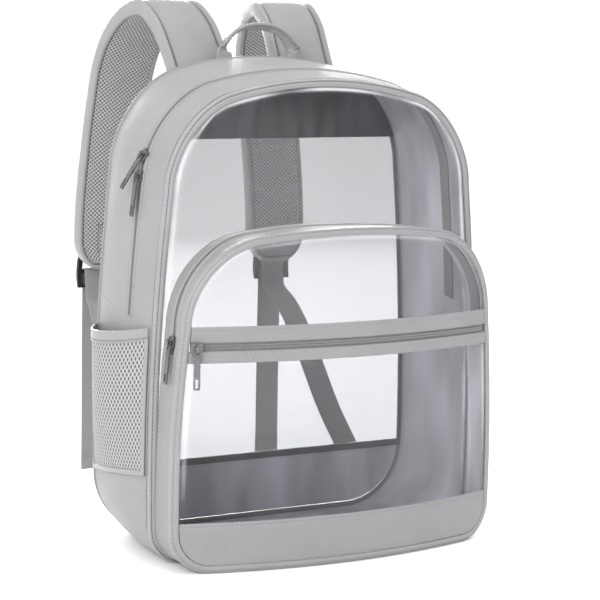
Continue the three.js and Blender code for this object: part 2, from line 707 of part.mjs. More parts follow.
// From the anchor up inside the bottom bar, over the middle bar, and down outside as a hemmed tail
function lowerWebbing(sign, middle, bottom, pitch) {
  const { base, aim } = anchorFrame(sign, bottom, pitch);
  const start = base.clone().addScaledVector(aim, anchor.height + clearance);
  const low = bottom.clone().add(new THREE.Vector3(0, -turnRadius, 0));
  const route = new THREE.CatmullRomCurve3([
    start,
    start.clone().addScaledVector(aim, anchor.height),
    low.clone().addScaledVector(aim, -2 * pitch),
    low.clone().add(new THREE.Vector3(0, -0.6, -pitch / 2)),
    low,
  ], false, 'chordal');
  const run = span(0, 1, 14).map((share) => route.getPointAt(share));
  const turn = span(Math.PI, 0, 6).map((a) => (
    middle.clone().add(new THREE.Vector3(0, turnRadius * Math.cos(a), turnRadius * Math.sin(a)))
  ));
  const last = turn[turn.length - 1];
  const hemTop = webbing.tailEnd + webbing.hem;
  const tail = [
    ...span(last.z, hemTop + webbing.thickness, 6).slice(1),
    hemTop, THREE.MathUtils.lerp(hemTop, webbing.tailEnd, 0.5), webbing.tailEnd,
  ].map((z) => new THREE.Vector3(last.x, last.y, z));
  const path = [...run, ...turn, ...tail];
  const hemStart = path.length - 3;
  return ribbon(path, () => webbing.width, (i) => (i >= hemStart ? 2 : 1) * webbing.thickness, () => level);
}

// Top handle: a band that rises from the back, turns to lie level over the hand, and leans back.
// side is a share of half the span, up of the rise, back of half the width, turn the band's turn in degrees
const handleRoute = [
  { side: 1.00, up: -0.60, back: 0.00, turn: 0 },
  { side: 1.00, up: -0.46, back: 0.00, turn: 0 },
  { side: 1.00, up: 0.12, back: 0.00, turn: 0 },
  { side: 0.98, up: 0.27, back: 0.20, turn: 44 },
  { side: 0.93, up: 0.45, back: 0.40, turn: 74 },
  { side: 0.79, up: 0.69, back: 0.50, turn: 86 },
  { side: 0.50, up: 0.91, back: 0.60, turn: 90 },
  { side: 0.17, up: 1.00, back: 0.60, turn: 90 },
];

function topHandle() {
  const half = handle.span / 2;
  const foot = outlinePoint(backEdge, 5 - half / (backEdge.halfTop - backEdge.shoulderRadius)).z;
  const y = backPlane + 2 * clearance + backBinding.depth + handle.thickness / 2;
  const lean = THREE.MathUtils.degToRad(handle.lean);
  const rows = [
    ...handleRoute.map((row) => ({ ...row, sign: -1 })),
    ...handleRoute.slice().reverse().map((row) => ({ ...row, sign: 1 })),
  ];
  const path = rows.map(({ side, up, back, sign }) => (
    new THREE.Vector3(sign * side * half, y + (back * handle.width) / 2, foot + up * handle.rise)
  ));
  const across = rows.map(({ turn, sign }) => {
    const angle = THREE.MathUtils.degToRad(turn);
    return new THREE.Vector3(-sign * Math.cos(angle), Math.sin(angle) * Math.cos(lean), Math.sin(angle) * Math.sin(lean));
  });
  add('top_handle', ribbon(path, () => handle.width, () => handle.thickness, (i) => across[i]), colours.leather);
}

// Zip sliders: a body over the slot, a keel in it and a bridge that the pull's pin turns under.
// Local X is the hinge axis, local Y points down the wall, local Z out of it
const pinPlay = 0.55;
const pinOut = clearance + slider.body + pull.pin + pinPlay;

function sliderSolid(isLevel) {
  const [wide, long] = isLevel ? [slider.length, slider.width] : [slider.width, slider.length];
  const keel = isLevel ? [slider.length, zip.slot - 2 * clearance] : [zip.slot - 2 * clearance, slider.length];
  const keelDeep = wall + clearance - zip.coilProud - clearance;
  const leg = 1.2;
  const inside = 2 * (pull.pin + pinPlay) + 0.8;
  const top = pinOut + pull.pin + pinPlay;
  const legHigh = top + leg - clearance - slider.body / 2;
  const middle = clearance + slider.body / 2;
  const legAt = (y) => box(slider.bridge, leg, legHigh, [0, y, middle + legHigh / 2]);
  return joined([
    box(wide, long, slider.body, [0, 0, middle]),
    box(keel[0] - 0.2, keel[1] - 0.2, keelDeep + middle, [0, 0, (middle - keelDeep) / 2]),
    legAt(-(inside + leg) / 2),
    legAt((inside + leg) / 2),
    box(slider.bridge, inside + 2 * leg, leg, [0, 0, top + leg / 2]),
  ]);
}

function pullSolid() {
  const half = pull.width / 2;
  const shape = new THREE.Shape();
  const top = -pull.pin;
  const neck = pull.ring;
  shape.moveTo(-half, top);
  shape.lineTo(half, top);
  shape.lineTo(half, neck);
  shape.lineTo(half, pull.length - 1);
  shape.lineTo(half - 1, pull.length);
  shape.lineTo(1 - half, pull.length);
  shape.lineTo(-half, pull.length - 1);
  const hole = (halfWide, from, to) => {
    const path = new THREE.Path();
    path.moveTo(-halfWide, from);
    path.lineTo(-halfWide, to);
    path.lineTo(halfWide, to);
    path.lineTo(halfWide, from);
    path.closePath();
    return path;
  };
  shape.holes.push(hole(slider.bridge / 2 + 0.45, pull.pin, neck - 1.4));
  shape.holes.push(hole(pull.slotWidth / 2, pull.length - 2.2 - pull.slotLength, pull.length - 2.2));
  const plate = new THREE.ExtrudeGeometry(shape, { depth: pull.thickness, bevelEnabled: false });
  plate.translate(0, 0, -pull.thickness / 2);
  return fromManifold(toManifold(plate));
}

function placeSlider(name, at, normal, down, isLevel) {
  const out = normal.clone().normalize();
  const fall = down.clone().addScaledVector(out, -down.dot(out)).normalize();
  const hinge = new THREE.Vector3().crossVectors(fall, out).normalize();
  const turn = new THREE.Matrix4().makeBasis(hinge, fall, out);
  const body = add(`slider_${name}`, sliderSolid(isLevel), colours.metal);
  body.quaternion.setFromRotationMatrix(turn);
  body.position.copy(at);
  const tab = add(`pull_${name}`, pullSolid(), colours.metal);
  tab.quaternion.setFromRotationMatrix(turn);
  tab.position.copy(at).addScaledVector(out, pinOut);
}

// Places of the sliders: heights above the floor, the level zip's distance from the seam, and each pull's slant
const sliderPlaces = { mainUpper: 343.3, mainLower: 326.5, pocket: 193.5, bandFromSeam: 5.6, mainSlant: 25 };

function sliders() {
  const onSurface = (surface, z) => {
    let [low, high] = [2, 4.5];
    for (let i = 0; i < 40; i += 1) {
      const middle = (low + high) / 2;
      if (surface(-middle, 0).z < z) low = middle;
      else high = middle;
    }
    const s = -(low + high) / 2;
    const point = surface(s, 0);
    const rise = surface(s - 0.02, 0).sub(point);
    const back = surface(s, 1).sub(point);
    const normal = new THREE.Vector3().crossVectors(rise, back).normalize();
    if (normal.x > 0) normal.negate();
    return { point, normal };
  };
  const mainSurface = (s, d) => new THREE.Vector3(...gussetPoint(s, mainZipPlace + d, 0));
  const outline = grow(pocketSeam, binding.width - gussetInset);
  const pocketSurface = (s, d) => {
    const { x, z } = outlinePoint(outline, s);
    return new THREE.Vector3(x, mainFace(x) - binding.lip - clearance - pocketZipPlace + d, z);
  };
  const down = new THREE.Vector3(0, 0, -1);
  const slant = THREE.MathUtils.degToRad(sliderPlaces.mainSlant);
  const slanted = new THREE.Vector3(0, Math.sin(slant), -Math.cos(slant));
  const upper = onSurface(mainSurface, sliderPlaces.mainUpper);
  placeSlider('main_upper', upper.point, upper.normal, slanted, false);
  const lower = onSurface(mainSurface, sliderPlaces.mainLower);
  placeSlider('main_lower', lower.point, lower.normal, down, false);
  const pocket = onSurface(pocketSurface, sliderPlaces.pocket);
  placeSlider('pocket', pocket.point, pocket.normal, down, false);
  const x = -halfAt(pocketSeam, bandZipHeight) + sliderPlaces.bandFromSeam;
  const slope = pocketFace(x + 0.5) - pocketFace(x - 0.5);
  const bandPoint = new THREE.Vector3(x, pocketFace(x) - wall, bandZipHeight);
  placeSlider('band', bandPoint, new THREE.Vector3(slope, -1, 0), down, true);
}

mainBody();
backPanel();
frontPocket();
sidePockets();
straps();
buckles();
topHandle();
sliders();

export default bag;
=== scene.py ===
"""The looks of the clear backpack: grained leather walls, clear sheets, nets, padded straps, zips and stitching."""

import math

import bpy
import bmesh
import numpy as np
from mathutils import Matrix, Vector


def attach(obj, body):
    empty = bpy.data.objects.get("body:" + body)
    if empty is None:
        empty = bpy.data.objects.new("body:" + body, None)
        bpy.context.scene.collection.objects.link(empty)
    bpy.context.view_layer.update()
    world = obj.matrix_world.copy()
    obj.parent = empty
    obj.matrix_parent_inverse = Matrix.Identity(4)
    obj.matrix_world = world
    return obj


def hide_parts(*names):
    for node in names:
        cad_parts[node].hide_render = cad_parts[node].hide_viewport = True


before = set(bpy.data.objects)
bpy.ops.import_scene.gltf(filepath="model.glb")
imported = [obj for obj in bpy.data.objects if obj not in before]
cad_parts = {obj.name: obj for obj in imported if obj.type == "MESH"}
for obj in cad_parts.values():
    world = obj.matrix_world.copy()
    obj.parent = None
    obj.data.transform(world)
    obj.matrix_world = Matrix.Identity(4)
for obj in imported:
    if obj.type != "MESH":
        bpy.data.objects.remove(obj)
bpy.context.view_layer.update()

MM = 0.001

# Sizes of the solids, in millimetres, as the part has them
clearance = 0.3
main_depth = 115.0
front_plane = -main_depth / 2
back_plane = main_depth / 2
wall = 1.6
clear_sheet = 0.9
lining_thickness = 1.0
main_bow = 2.0
pocket_bow = 24.7
pocket_depth = 34.5
gusset_inset = 1.2
side_bulge = 6.0
top_bulge_share = 0.4
binding_width = 6.5
binding_lip = 1.0
binding_depth = 5.4
binding_slot = 4.0
back_binding_width = 5.0
back_binding_depth = 2.2
back_binding_proud = 0.9
zip_slot = 5.0
zip_tape = 14.0
zip_tape_thickness = 0.8
main_zip_place = 42.0
main_zip_end = 0.6
pocket_zip_place = 18.0
pocket_zip_end = 0.86
base_strip_top = 43.4
band_bottom = 177.9
band_top = 208.4
band_zip_height = 191.5
window_tuck = 6.0
yoke_bottom = 352.0
back_base_top = 62.0
side_pocket = dict(
    seam_front=78.0, seam_back=64.0, hem_front=203.0, hem_back=192.0, hem=11.0, sag=4.0, bulge=13.0,
    rearward=1.5, mesh=1.2,
)
hem_thickness = 2.2
strap = dict(width=61.0, thickness=11.0, edge=5.8, edge_proud=0.8, edge_gap=0.6, mesh=1.2, reach=126.0, rounding=28.0)
webbing = dict(width=25.0, thickness=1.4, hem=17.0, tail_end=26.0)
buckle = dict(bar=1.7, height=30.0, bowing=3.2, overlap=10.0, outward=3.5)
anchor = dict(width=40.0, height=32.0, thickness=2.4, rise=26.0)
handle = dict(span=72.0, rise=29.0, width=15.0, thickness=3.0, lean=-18.0)

# Sizes of what only the looks have, in millimetres
binding_bead = 1.35
binding_sewn = 4.75
binding_face_sunk = 0.68
teeth_out = 0.95
teeth_apart = 0.95
lip_overlap = 0.2
lip_back = 1.0
welt_back = 0.9
row_spacing = 3.0
hem_sewn = 2.4
strap_net_tuck = 0.9
cloth_cap = 2.2
cloth_pressure = 4.0
hem_fold = 0.2

# Lines that follow from the sizes: ends of the zips as stations, and sewn lines
main_split = 2 + main_zip_end
main_zip_sewn = (main_zip_place - zip_slot / 2 - 2.6, main_zip_place + zip_slot / 2 + 2.6)
rear_sewn = main_depth - 4.2
pocket_split = 2 + pocket_zip_end
pocket_zip_sewn = (pocket_zip_place - zip_slot / 2 - 2.4, pocket_zip_place + zip_slot / 2 + 2.4)
pocket_root_sewn = 3.6
band_lower_sewn = (band_zip_height - zip_slot / 2 - lip_back - 2.2,)
band_upper_sewn = (band_top - 4.4,)
back_face = back_plane + clearance + wall
turn_radius = buckle["bar"] + clearance + webbing["thickness"] / 2
sideways = np.array([1.0, 0, 0])

# Rows of a strap: side as a share of the back edge's half width, back of the reach, up of the height
strap_route = [
    (0.350, 0.000, 0.925), (0.358, 0.055, 0.962), (0.366, 0.155, 1.010), (0.383, 0.300, 1.066),
    (0.404, 0.500, 1.099), (0.431, 0.690, 1.087), (0.458, 0.820, 1.058), (0.485, 0.920, 1.018),
    (0.512, 0.985, 0.960), (0.538, 1.000, 0.890), (0.578, 1.000, 0.780), (0.610, 1.000, 0.655),
    (0.618, 0.995, 0.520),
]
# Rows of the handle: side as a share of half the span, up of the rise, back of half the width, turn in degrees
handle_route = [
    (1.00, -0.60, 0.00, 0), (1.00, -0.46, 0.00, 0), (1.00, 0.12, 0.00, 0), (0.98, 0.27, 0.20, 44),
    (0.93, 0.45, 0.40, 74), (0.79, 0.69, 0.50, 86), (0.50, 0.91, 0.60, 90), (0.17, 1.00, 0.60, 90),
]


class Arch:
    """An arched outline. Its station runs from 0 at the bottom middle to 5 at the top middle and on to 10."""

    def __init__(self, half_bottom, half_top, bow, bottom_radius, shoulder, crown, bottom, top):
        self.half_bottom, self.half_top, self.bow = half_bottom, half_top, bow
        self.bottom_radius, self.shoulder, self.crown = bottom_radius, shoulder, crown
        self.bottom, self.top = bottom, top

    def grown(self, by):
        return Arch(
            self.half_bottom + by, self.half_top + by, self.bow, self.bottom_radius + by, self.shoulder + by,
            self.crown, self.bottom - by, self.top + by,
        )

    def raised(self, bottom):
        return Arch(
            self.half_bottom, self.half_top, self.bow, self.bottom_radius, self.shoulder, self.crown, bottom, self.top,
        )

    def at(self, station):
        """x and z at stations, which may be an array."""
        s = np.where(np.asarray(station, float) > 5, np.asarray(station, float) - 10, station)
        share = np.abs(s)
        stretch = np.minimum(np.floor(share), 4)
        f = share - stretch
        angle = f * math.pi / 2
        foot = self.top - self.shoulder - self.crown

        def lift(x):
            return self.crown * (1 - (x / self.half_top) ** 2)

        shoulder_x = self.half_top - self.shoulder * (1 - np.cos(angle))
        top_x = (1 - f) * (self.half_top - self.shoulder)
        xs = [
            f * (self.half_bottom - self.bottom_radius),
            self.half_bottom - self.bottom_radius * (1 - np.sin(angle)),
            self.half_bottom + (self.half_top - self.half_bottom) * f + 4 * self.bow * f * (1 - f),
            shoulder_x,
            top_x,
        ]
        zs = [
            self.bottom + 0 * f,
            self.bottom + self.bottom_radius * (1 - np.cos(angle)),
            self.bottom + self.bottom_radius + (foot - self.bottom - self.bottom_radius) * f,
            foot + self.shoulder * np.sin(angle) + lift(shoulder_x),
            self.top - self.crown + lift(top_x),
        ]
        which = [stretch == i for i in range(5)]
        return np.select(which, xs) * np.where(s < 0, -1.0, 1.0), np.select(which, zs)

    def station(self, height):
        low, high = 1.0, 5.0
        for _ in range(40):
            middle = (low + high) / 2
            if float(self.at(middle)[1]) < height:
                low = middle
            else:
                high = middle
        return (low + high) / 2

    def half_at(self, height):
        return float(self.at(self.station(height))[0])

    def walk(self, start, end, spacing):
        """Stations from start to end, evenly spaced along the outline."""
        fine = np.linspace(start, end, 2000)
        x, z = self.at(fine)
        far = np.concatenate([[0], np.cumsum(np.hypot(np.diff(x), np.diff(z)))])
        count = max(int(far[-1] / spacing), 4)
        return np.interp(np.linspace(0, far[-1], count + 1), far, fine)


main_seam = Arch(156, 144.4, 4.8, 25, 54.2, 33.2, 6.8, 403)
back_edge = Arch(161, 148.5, 3.5, 60, 66, 33, 0, 425)
pocket_seam = Arch(153, 145.2, 2.9, 27, 57.9, 16.2, 6.8, 281.4)
gusset_outline = main_seam.grown(binding_width - gusset_inset).raised(0.0)
pocket_outline = pocket_seam.grown(binding_width - gusset_inset)


def main_face(x):
    return front_plane - main_bow * (1 - (x / pocket_seam.half_bottom) ** 2)


def pocket_face(x):
    return front_plane - pocket_depth - pocket_bow * (1 - (x / pocket_seam.half_bottom) ** 2)


def folded(station):
    """Stations counted from the bottom middle up either side, negative past the top."""
    return np.where(station > 5, station - 10, station)


def unit(vectors):
    return vectors / np.linalg.norm(vectors, axis=-1, keepdims=True)


def ripple(a, b, length, seed):
    """A soft uneven wave over a surface, from -1 to 1, with a given usual length."""
    rng = np.random.default_rng(seed)
    total = 0
    for _ in range(6):
        angle, stretch, phase = rng.uniform(0, math.pi), rng.uniform(0.7, 1.5), rng.uniform(0, 2 * math.pi)
        wave = 2 * math.pi / (length * stretch)
        total = total + np.sin(wave * (a * math.cos(angle) + b * math.sin(angle)) + phase)
    return total / 6


def stack(*parts):
    return np.stack(np.broadcast_arrays(*parts), axis=-1)


# Materials


class Value:
    """A shader socket that takes part in sums."""

    def __init__(self, finish, socket):
        self.finish, self.socket = finish, socket

    def _sum(self, operation, first, second):
        return self.finish.add("ShaderNodeMath", {"operation": operation}, {0: first, 1: second})["Value"]

    def __add__(self, other):
        return self._sum("ADD", self, other)

    def __sub__(self, other):
        return self._sum("SUBTRACT", self, other)

    def __rsub__(self, other):
        return self._sum("SUBTRACT", other, self)

    def __mul__(self, other):
        return self._sum("MULTIPLY", self, other)

    def __truediv__(self, other):
        return self._sum("DIVIDE", self, other)

    __radd__ = __add__
    __rmul__ = __mul__

    def clamped(self):
        return self._sum("MINIMUM", self._sum("MAXIMUM", self, 0.0), 1.0)


class Finish:
    """A material under construction."""

    def __init__(self, name):
        self.material = bpy.data.materials.new(name)
        self.material.use_nodes = True
        self.tree = self.material.node_tree
        self.shader = self.tree.nodes["Principled BSDF"]

    def add(self, kind, settings=None, inputs=None):
        """Adds any node: its settings first, then the values or links of its sockets. Returns its outputs by name."""
        node = self.tree.nodes.new(kind)
        for name, value in (settings or {}).items():
            setattr(node, name, value)
        for name, value in (inputs or {}).items():
            self.feed(node.inputs[name], value)
        return {output.name: Value(self, output) for output in node.outputs if output.enabled}

    def feed(self, socket, value):
        if isinstance(value, Value):
            self.tree.links.new(value.socket, socket)
        else:
            socket.default_value = value

    def set(self, **values):
        """Feeds the Principled shader, with underscores for the spaces in its sockets' names."""
        for name, value in values.items():
            self.feed(self.shader.inputs[name.replace("_", " ")], value)

    def mixed(self, amount, first, second):
        return self.add("ShaderNodeMix", {"data_type": "RGBA"}, {0: amount, 6: first, 7: second})["Result"]

    def bump(self, height, distance, strength=1.0, normal=None):
        inputs = {"Height": height, "Distance": distance, "Strength": strength}
        if normal is not None:
            inputs["Normal"] = normal
        return self.add("ShaderNodeBump", None, inputs)["Normal"]

    def noise(self, place, scale, detail=2.0, roughness=0.5):
        inputs = {"Vector": place, "Scale": scale, "Detail": detail, "Roughness": roughness}
        return self.add("ShaderNodeTexNoise", None, inputs)["Fac"]

    def wave(self, operation, angle):
        return self.add("ShaderNodeMath", {"operation": operation}, {0: angle})["Value"]

    def place(self):
        return self.add("ShaderNodeTexCoord")["Object"]

    def uv(self):
        return self.add("ShaderNodeTexCoord")["UV"]

    def split(self, vector):
        out = self.add("ShaderNodeSeparateXYZ", None, {0: vector})
        return out["X"], out["Y"]


def shade(level, coolness=0.012):
    return (level, level * (1 - coolness / 2), level * (1 + coolness), 1.0)


def leather(name, level, grain=1.0, rough=0.46):
    """Soft coated leather: fine pebbles with creases between them, faint clouding, a little sheen."""
    f = Finish(name)
    place = f.place()
    inputs = {"Vector": place, "Scale": 780.0}
    cells = f.add("ShaderNodeTexVoronoi", {"feature": "DISTANCE_TO_EDGE"}, inputs)["Distance"]
    pores = f.noise(place, 2600.0, 3.0)
    clouds = f.noise(place, 22.0, 3.0)
    patches = f.noise(place, 140.0, 2.0)
    pebble = (cells * 2.4).clamped()
    tone = (clouds - 0.5) * 0.9 + (patches - 0.5) * 0.35 + (pebble - 0.5) * 0.22 + 0.5
    f.set(Base_Color=f.mixed(tone.clamped(), shade(level * 0.87), shade(level * 1.1)))
    f.set(Roughness=(rough + (pores - 0.5) * 0.18 - (pebble - 0.5) * 0.08).clamped())
    f.shader.inputs["Specular IOR Level"].default_value = 0.42
    f.shader.inputs["Sheen Weight"].default_value = 0.12
    f.shader.inputs["Sheen Roughness"].default_value = 0.5
    height = pebble * 0.75 + pores * 0.35
    f.set(Normal=f.bump(height, 0.00016 * grain, 0.75, f.bump(patches, 0.0005 * grain, 0.5)))
    return f.material


def lining(name, level):
    """Thin coated lining cloth: smooth, slightly shiny, with long soft creases, coloured darker in their troughs as
    painted shade and lighter on their crests as painted highlight.
    """
    f = Finish(name)
    place = f.place()
    inputs = {"Vector": place, "Scale": (1.0, 1.0, 0.3)}
    folds = f.noise(f.add("ShaderNodeMapping", {"vector_type": "POINT"}, inputs)["Vector"], 20.0, 2.0, 0.5)
    weave = f.noise(place, 1500.0, 2.0)
    # Painted shade and highlight: the colour follows the creases, dark in the troughs and light on the crests.
    tone = ((folds - 0.5) * 2.4 + 0.5).clamped()
    f.set(Base_Color=f.mixed(tone, shade(level * 0.62, 0.06), shade(level * 1.35, 0.06)))
    f.set(Roughness=(weave * 0.12 + 0.3 + (folds - 0.5) * 0.3).clamped())
    f.set(Normal=f.bump(folds, 0.006, 0.8, f.bump(weave, 0.00005, 0.4)))
    return f.material


def clear(name, haze, tint, through_tone=0.976):
    """A clear soft sheet: see-through where it faces the eye, glossy at a slant, with faint clouds and dust.

    A point attribute of the piece marks where it rolls over; there the sheet is painted whiter and less clear, a
    painted highlight.
    """
    f = Finish(name)
    place = f.place()
    waves = f.noise(place, 9.0, 2.0)
    dust = f.noise(place, 420.0, 3.0)
    f.set(Base_Color=tint)
    f.set(Roughness=((dust - 0.5) * 0.05 + 0.07).clamped())
    f.shader.inputs["IOR"].default_value = 1.52
    f.shader.inputs["Specular IOR Level"].default_value = 0.7
    f.set(Normal=f.bump(waves, 0.004, 0.35))
    gloss = f.add("ShaderNodeFresnel", None, {"IOR": 1.5})["Fac"]
    colour = (through_tone - 0.002, through_tone, through_tone + 0.002, 1)
    through = f.add("ShaderNodeBsdfTransparent", None, {"Color": colour})["BSDF"]
    painted_highlight = f.add("ShaderNodeAttribute", {"attribute_name": "painted_highlight"})["Fac"]
    leaving = f.add("ShaderNodeNewGeometry")["Backfacing"]
    # The point attribute adds a painted highlight to the sheet's white share.
    share = (((gloss - 0.042) * 1.7 + haze + (waves - 0.5) * 0.02 + painted_highlight * 0.62) * (1 - leaving)).clamped()
    solid = Value(f, f.shader.outputs["BSDF"])
    mixed = f.add("ShaderNodeMixShader", None, {0: share, 1: through, 2: solid})["Shader"]
    f.tree.links.new(mixed.socket, f.tree.nodes["Material Output"].inputs["Surface"])
    return f.material


def net(name, thread, hole_shade, across, down):
    """Spacer net: rows of staggered oval holes between twisted threads, on the piece's own UV map in metres. It is
    opaque: its holes are coloured dark as painted shade for the depth behind them, and the threads darken towards the
    holes as painted shade.
    """
    f = Finish(name)
    u, v = f.split(f.uv())
    wave = f.noise(f.place(), 60.0, 1.0)
    column = u / across + (wave - 0.5) * 0.12
    row = v / down + (wave - 0.5) * 0.1
    size = f.wave("ABSOLUTE", f.wave("COSINE", (column + row) * math.pi) * f.wave("COSINE", (column - row) * math.pi))
    pit = ((size - 0.29) * 3.2).clamped()
    twist = f.noise(f.place(), 1500.0, 2.0)
    # Painted shade: the threads darken towards the holes, and the holes take a dark colour for the shade behind them.
    tone = (twist * 0.5 + 0.5 - pit * 0.15).clamped()
    threads = f.mixed(tone, shade(thread * 0.72), shade(thread * 1.06))
    f.set(Base_Color=f.mixed(pit, threads, shade(hole_shade)))
    f.set(Roughness=(twist * 0.2 + 0.62).clamped())
    f.shader.inputs["Specular IOR Level"].default_value = 0.25
    f.shader.inputs["Sheen Weight"].default_value = 0.2
    f.set(Normal=f.bump((1 - pit) + twist * 0.25, 0.0011, 0.9))
    return f.material


def web(name, level, pitch=0.0016):
    """Woven band: ribs across the width and a fine twill, with a thicker selvedge, on the UV map in metres."""
    f = Finish(name)
    u, v = f.split(f.uv())
    ribs = f.wave("SINE", (u + v * 0.35) * (2 * math.pi / pitch))
    cross = f.wave("SINE", v * (2 * math.pi / (pitch * 0.62)))
    fuzz = f.noise(f.place(), 1800.0, 3.0)
    clouds = f.noise(f.place(), 45.0, 2.0)
    height = ribs * 0.35 + cross * 0.25 + fuzz * 0.4 + 0.5
    tone = ((height - 0.5) * 0.45 + 0.5 + (clouds - 0.5) * 0.3).clamped()
    f.set(Base_Color=f.mixed(tone, shade(level * 0.72), shade(level * 1.18)))
    f.set(Roughness=(fuzz * 0.2 + 0.62).clamped())
    f.shader.inputs["Specular IOR Level"].default_value = 0.2
    f.shader.inputs["Sheen Weight"].default_value = 0.3
    f.set(Normal=f.bump(height, 0.0003, 0.7))
    return f.material


def thread(name, level):
    f = Finish(name)
    ply = f.noise(f.place(), 2400.0, 2.0)
    f.set(Base_Color=f.mixed(ply, shade(level * 0.8), shade(level * 1.12)))
    f.set(Roughness=(ply * 0.2 + 0.45).clamped())
    f.shader.inputs["Sheen Weight"].default_value = 0.2
    f.set(Normal=f.bump(ply, 0.0001, 0.5))
    return f.material


def moulded(name, level):
    """Moulded black plastic with a faint spark-eroded grain."""
    f = Finish(name)
    grain = f.noise(f.place(), 1900.0, 3.0)
    scuff = f.noise(f.place(), 160.0, 3.0)
    f.set(Base_Color=f.mixed(scuff, shade(level * 0.7), shade(level * 1.6)))
    f.set(Roughness=(scuff * 0.16 + 0.36 + (grain - 0.5) * 0.1).clamped())
    f.shader.inputs["Specular IOR Level"].default_value = 0.3
    f.set(Normal=f.bump(grain, 0.00008, 0.5))
    return f.material


def cast_metal(name, level):
    """Plated cast metal, dark grey, with slight polishing marks."""
    f = Finish(name)
    marks = f.noise(f.place(), 900.0, 3.0)
    cloud = f.noise(f.place(), 120.0, 2.0)
    f.set(Base_Color=f.mixed(cloud, shade(level * 0.8), shade(level * 1.15)))
    f.set(Roughness=(marks * 0.14 + 0.2).clamped())
    f.shader.inputs["Metallic"].default_value = 1.0
    f.set(Normal=f.bump(marks, 0.00006, 0.4))
    return f.material


grey = leather("grey_leather", 0.25)
grey_trim = leather("grey_trim_leather", 0.26, 0.7, 0.32)
inner_cloth = lining("dark_inner_cloth", 0.085)
# A light backing cloth for the walls' inner sides, coloured lighter than the leather as painted light that brightens
# the inside of the bag.
painted_light_backing = lining("backing_cloth_with_painted_light", 0.45)
clear_front = clear("clear_window", 0.012, (0.93, 0.95, 0.96, 1))
clear_rear = clear("clear_back", 0.24, (0.62, 0.63, 0.64, 1), 0.78)
pocket_net = net("pocket_net", 0.42, 0.11, 0.0046, 0.0066)
strap_net = net("strap_net", 0.46, 0.13, 0.0037, 0.0042)
grey_web = web("grey_webbing", 0.25)
tape_cloth = web("zip_tape_cloth", 0.23, 0.0011)
coil_nylon = thread("zip_coil", 0.27)
grey_thread = thread("grey_thread", 0.36)
# Thread coloured dark as painted shade along the sewn grooves of the walls, the back and the straps.
shaded_seam_thread = thread("shaded_seam_thread", 0.13)
black_plastic = moulded("black_plastic", 0.008)
gunmetal = cast_metal("gunmetal", 0.2)


# Meshes


def placed(name, data):
    """A new object of the scene."""
    item = bpy.data.objects.new(name, data)
    bpy.context.scene.collection.objects.link(item)
    return item


def evaluated(item):
    """The object as its modifiers leave it."""
    return item.evaluated_get(bpy.context.evaluated_depsgraph_get())


def smoothed(mesh, crease):
    """Smooth shading, with sharp edges where the faces meet at more than the crease, in degrees."""
    mesh.polygons.foreach_set("use_smooth", [True] * len(mesh.polygons))
    mesh.set_sharp_from_angle(angle=math.radians(crease))


def mesh_object(name, points, faces, uvs, material):
    mesh = bpy.data.meshes.new(name)
    mesh.from_pydata([tuple(p) for p in np.asarray(points) * MM], [], faces)
    layer = mesh.uv_layers.new(name="UVMap")
    flat = np.array([c for face in uvs for c in face], dtype=np.float32) * MM
    layer.data.foreach_set("uv", flat.ravel())
    mesh.materials.append(material)
    smoothed(mesh, 42)
    mesh.update()
    return placed(name, mesh)


def outward(points, faces):
    """Whether the faces enclose their volume the right way out."""
    volume = 0.0
    for face in faces:
        a = points[face[0]]
        for i in range(1, len(face) - 1):
            volume += float(np.dot(a, np.cross(points[face[i]], points[face[i + 1]])))
    return volume >= 0


def loft(name, rings, material, closed=False):
    """A closed body through rings of points in mm. Its UV map is in metres along and across."""
    rings = np.asarray(rings, float)
    count, size = rings.shape[:2]
    along = np.linalg.norm(np.diff(rings, axis=0), axis=2).mean(axis=1)
    loop = np.concatenate([rings, rings[:, :1]], axis=1)
    across = np.linalg.norm(np.diff(loop, axis=1), axis=2).mean(axis=0)
    u = np.concatenate([[0], np.cumsum(along), [0]])
    v = np.concatenate([[0], np.cumsum(across)])
    if closed:
        u[-1] = u[-2] + np.linalg.norm(rings[0] - rings[-1], axis=1).mean()
    faces, uvs = [], []
    for i in range(count if closed else count - 1):
        k = (i + 1) % count
        for j in range(size):
            m = (j + 1) % size
            faces.append((i * size + j, k * size + j, k * size + m, i * size + m))
            uvs.append([(u[i], v[j]), (u[i + 1], v[j]), (u[i + 1], v[j + 1]), (u[i], v[j + 1])])
    points = rings.reshape(-1, 3)
    if not closed:
        first = tuple(range(size))
        last = tuple((count - 1) * size + j for j in range(size))[::-1]
        faces += [first, last]
        uvs += [[(0, v[j]) for j in first], [(u[-2], v[j % size]) for j in last]]
    if not outward(points, faces):
        faces = [face[::-1] for face in faces]
        uvs = [face[::-1] for face in uvs]
    return mesh_object(name, points, faces, uvs, material)


def two_faced(name, outer, inner, material):
    """A thin sheet between an outer and an inner grid of points."""
    return loft(name, np.concatenate([outer, inner[:, ::-1]], axis=1), material)


def backed_with_painted_light(piece, size, first, last):
    """Gives a strip's inner side a light cloth backing, coloured lighter than the leather as painted light for the
    inside of the bag. The faces run round each ring of size points.
    """
    piece.data.materials.append(painted_light_backing)
    index = np.zeros(len(piece.data.polygons), dtype=np.int32)
    rows = len(index) // size
    index[: rows * size].reshape(rows, size)[:, first:last] = 1
    piece.data.polygons.foreach_set("material_index", index)
    return piece


def finished(piece, slot, *nodes, body="bag"):
    """Gives the piece its body and hides the solids that it stands for; the slot argument is not used."""
    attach(piece, body)
    if nodes:
        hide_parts(*nodes)
    return piece


def marks(low, high, columns, seams=()):
    """Positions across a strip, closer together along its sewn lines."""
    close = [s + o for s in seams for o in (-1.9, -1.1, -0.4, 0.4, 1.1, 1.9) if low < s + o < high]
    wide = [v for v in np.linspace(low, high, columns) if v in (low, high) or all(abs(v - c) > 0.5 for c in close)]
    return np.unique(wide + close)


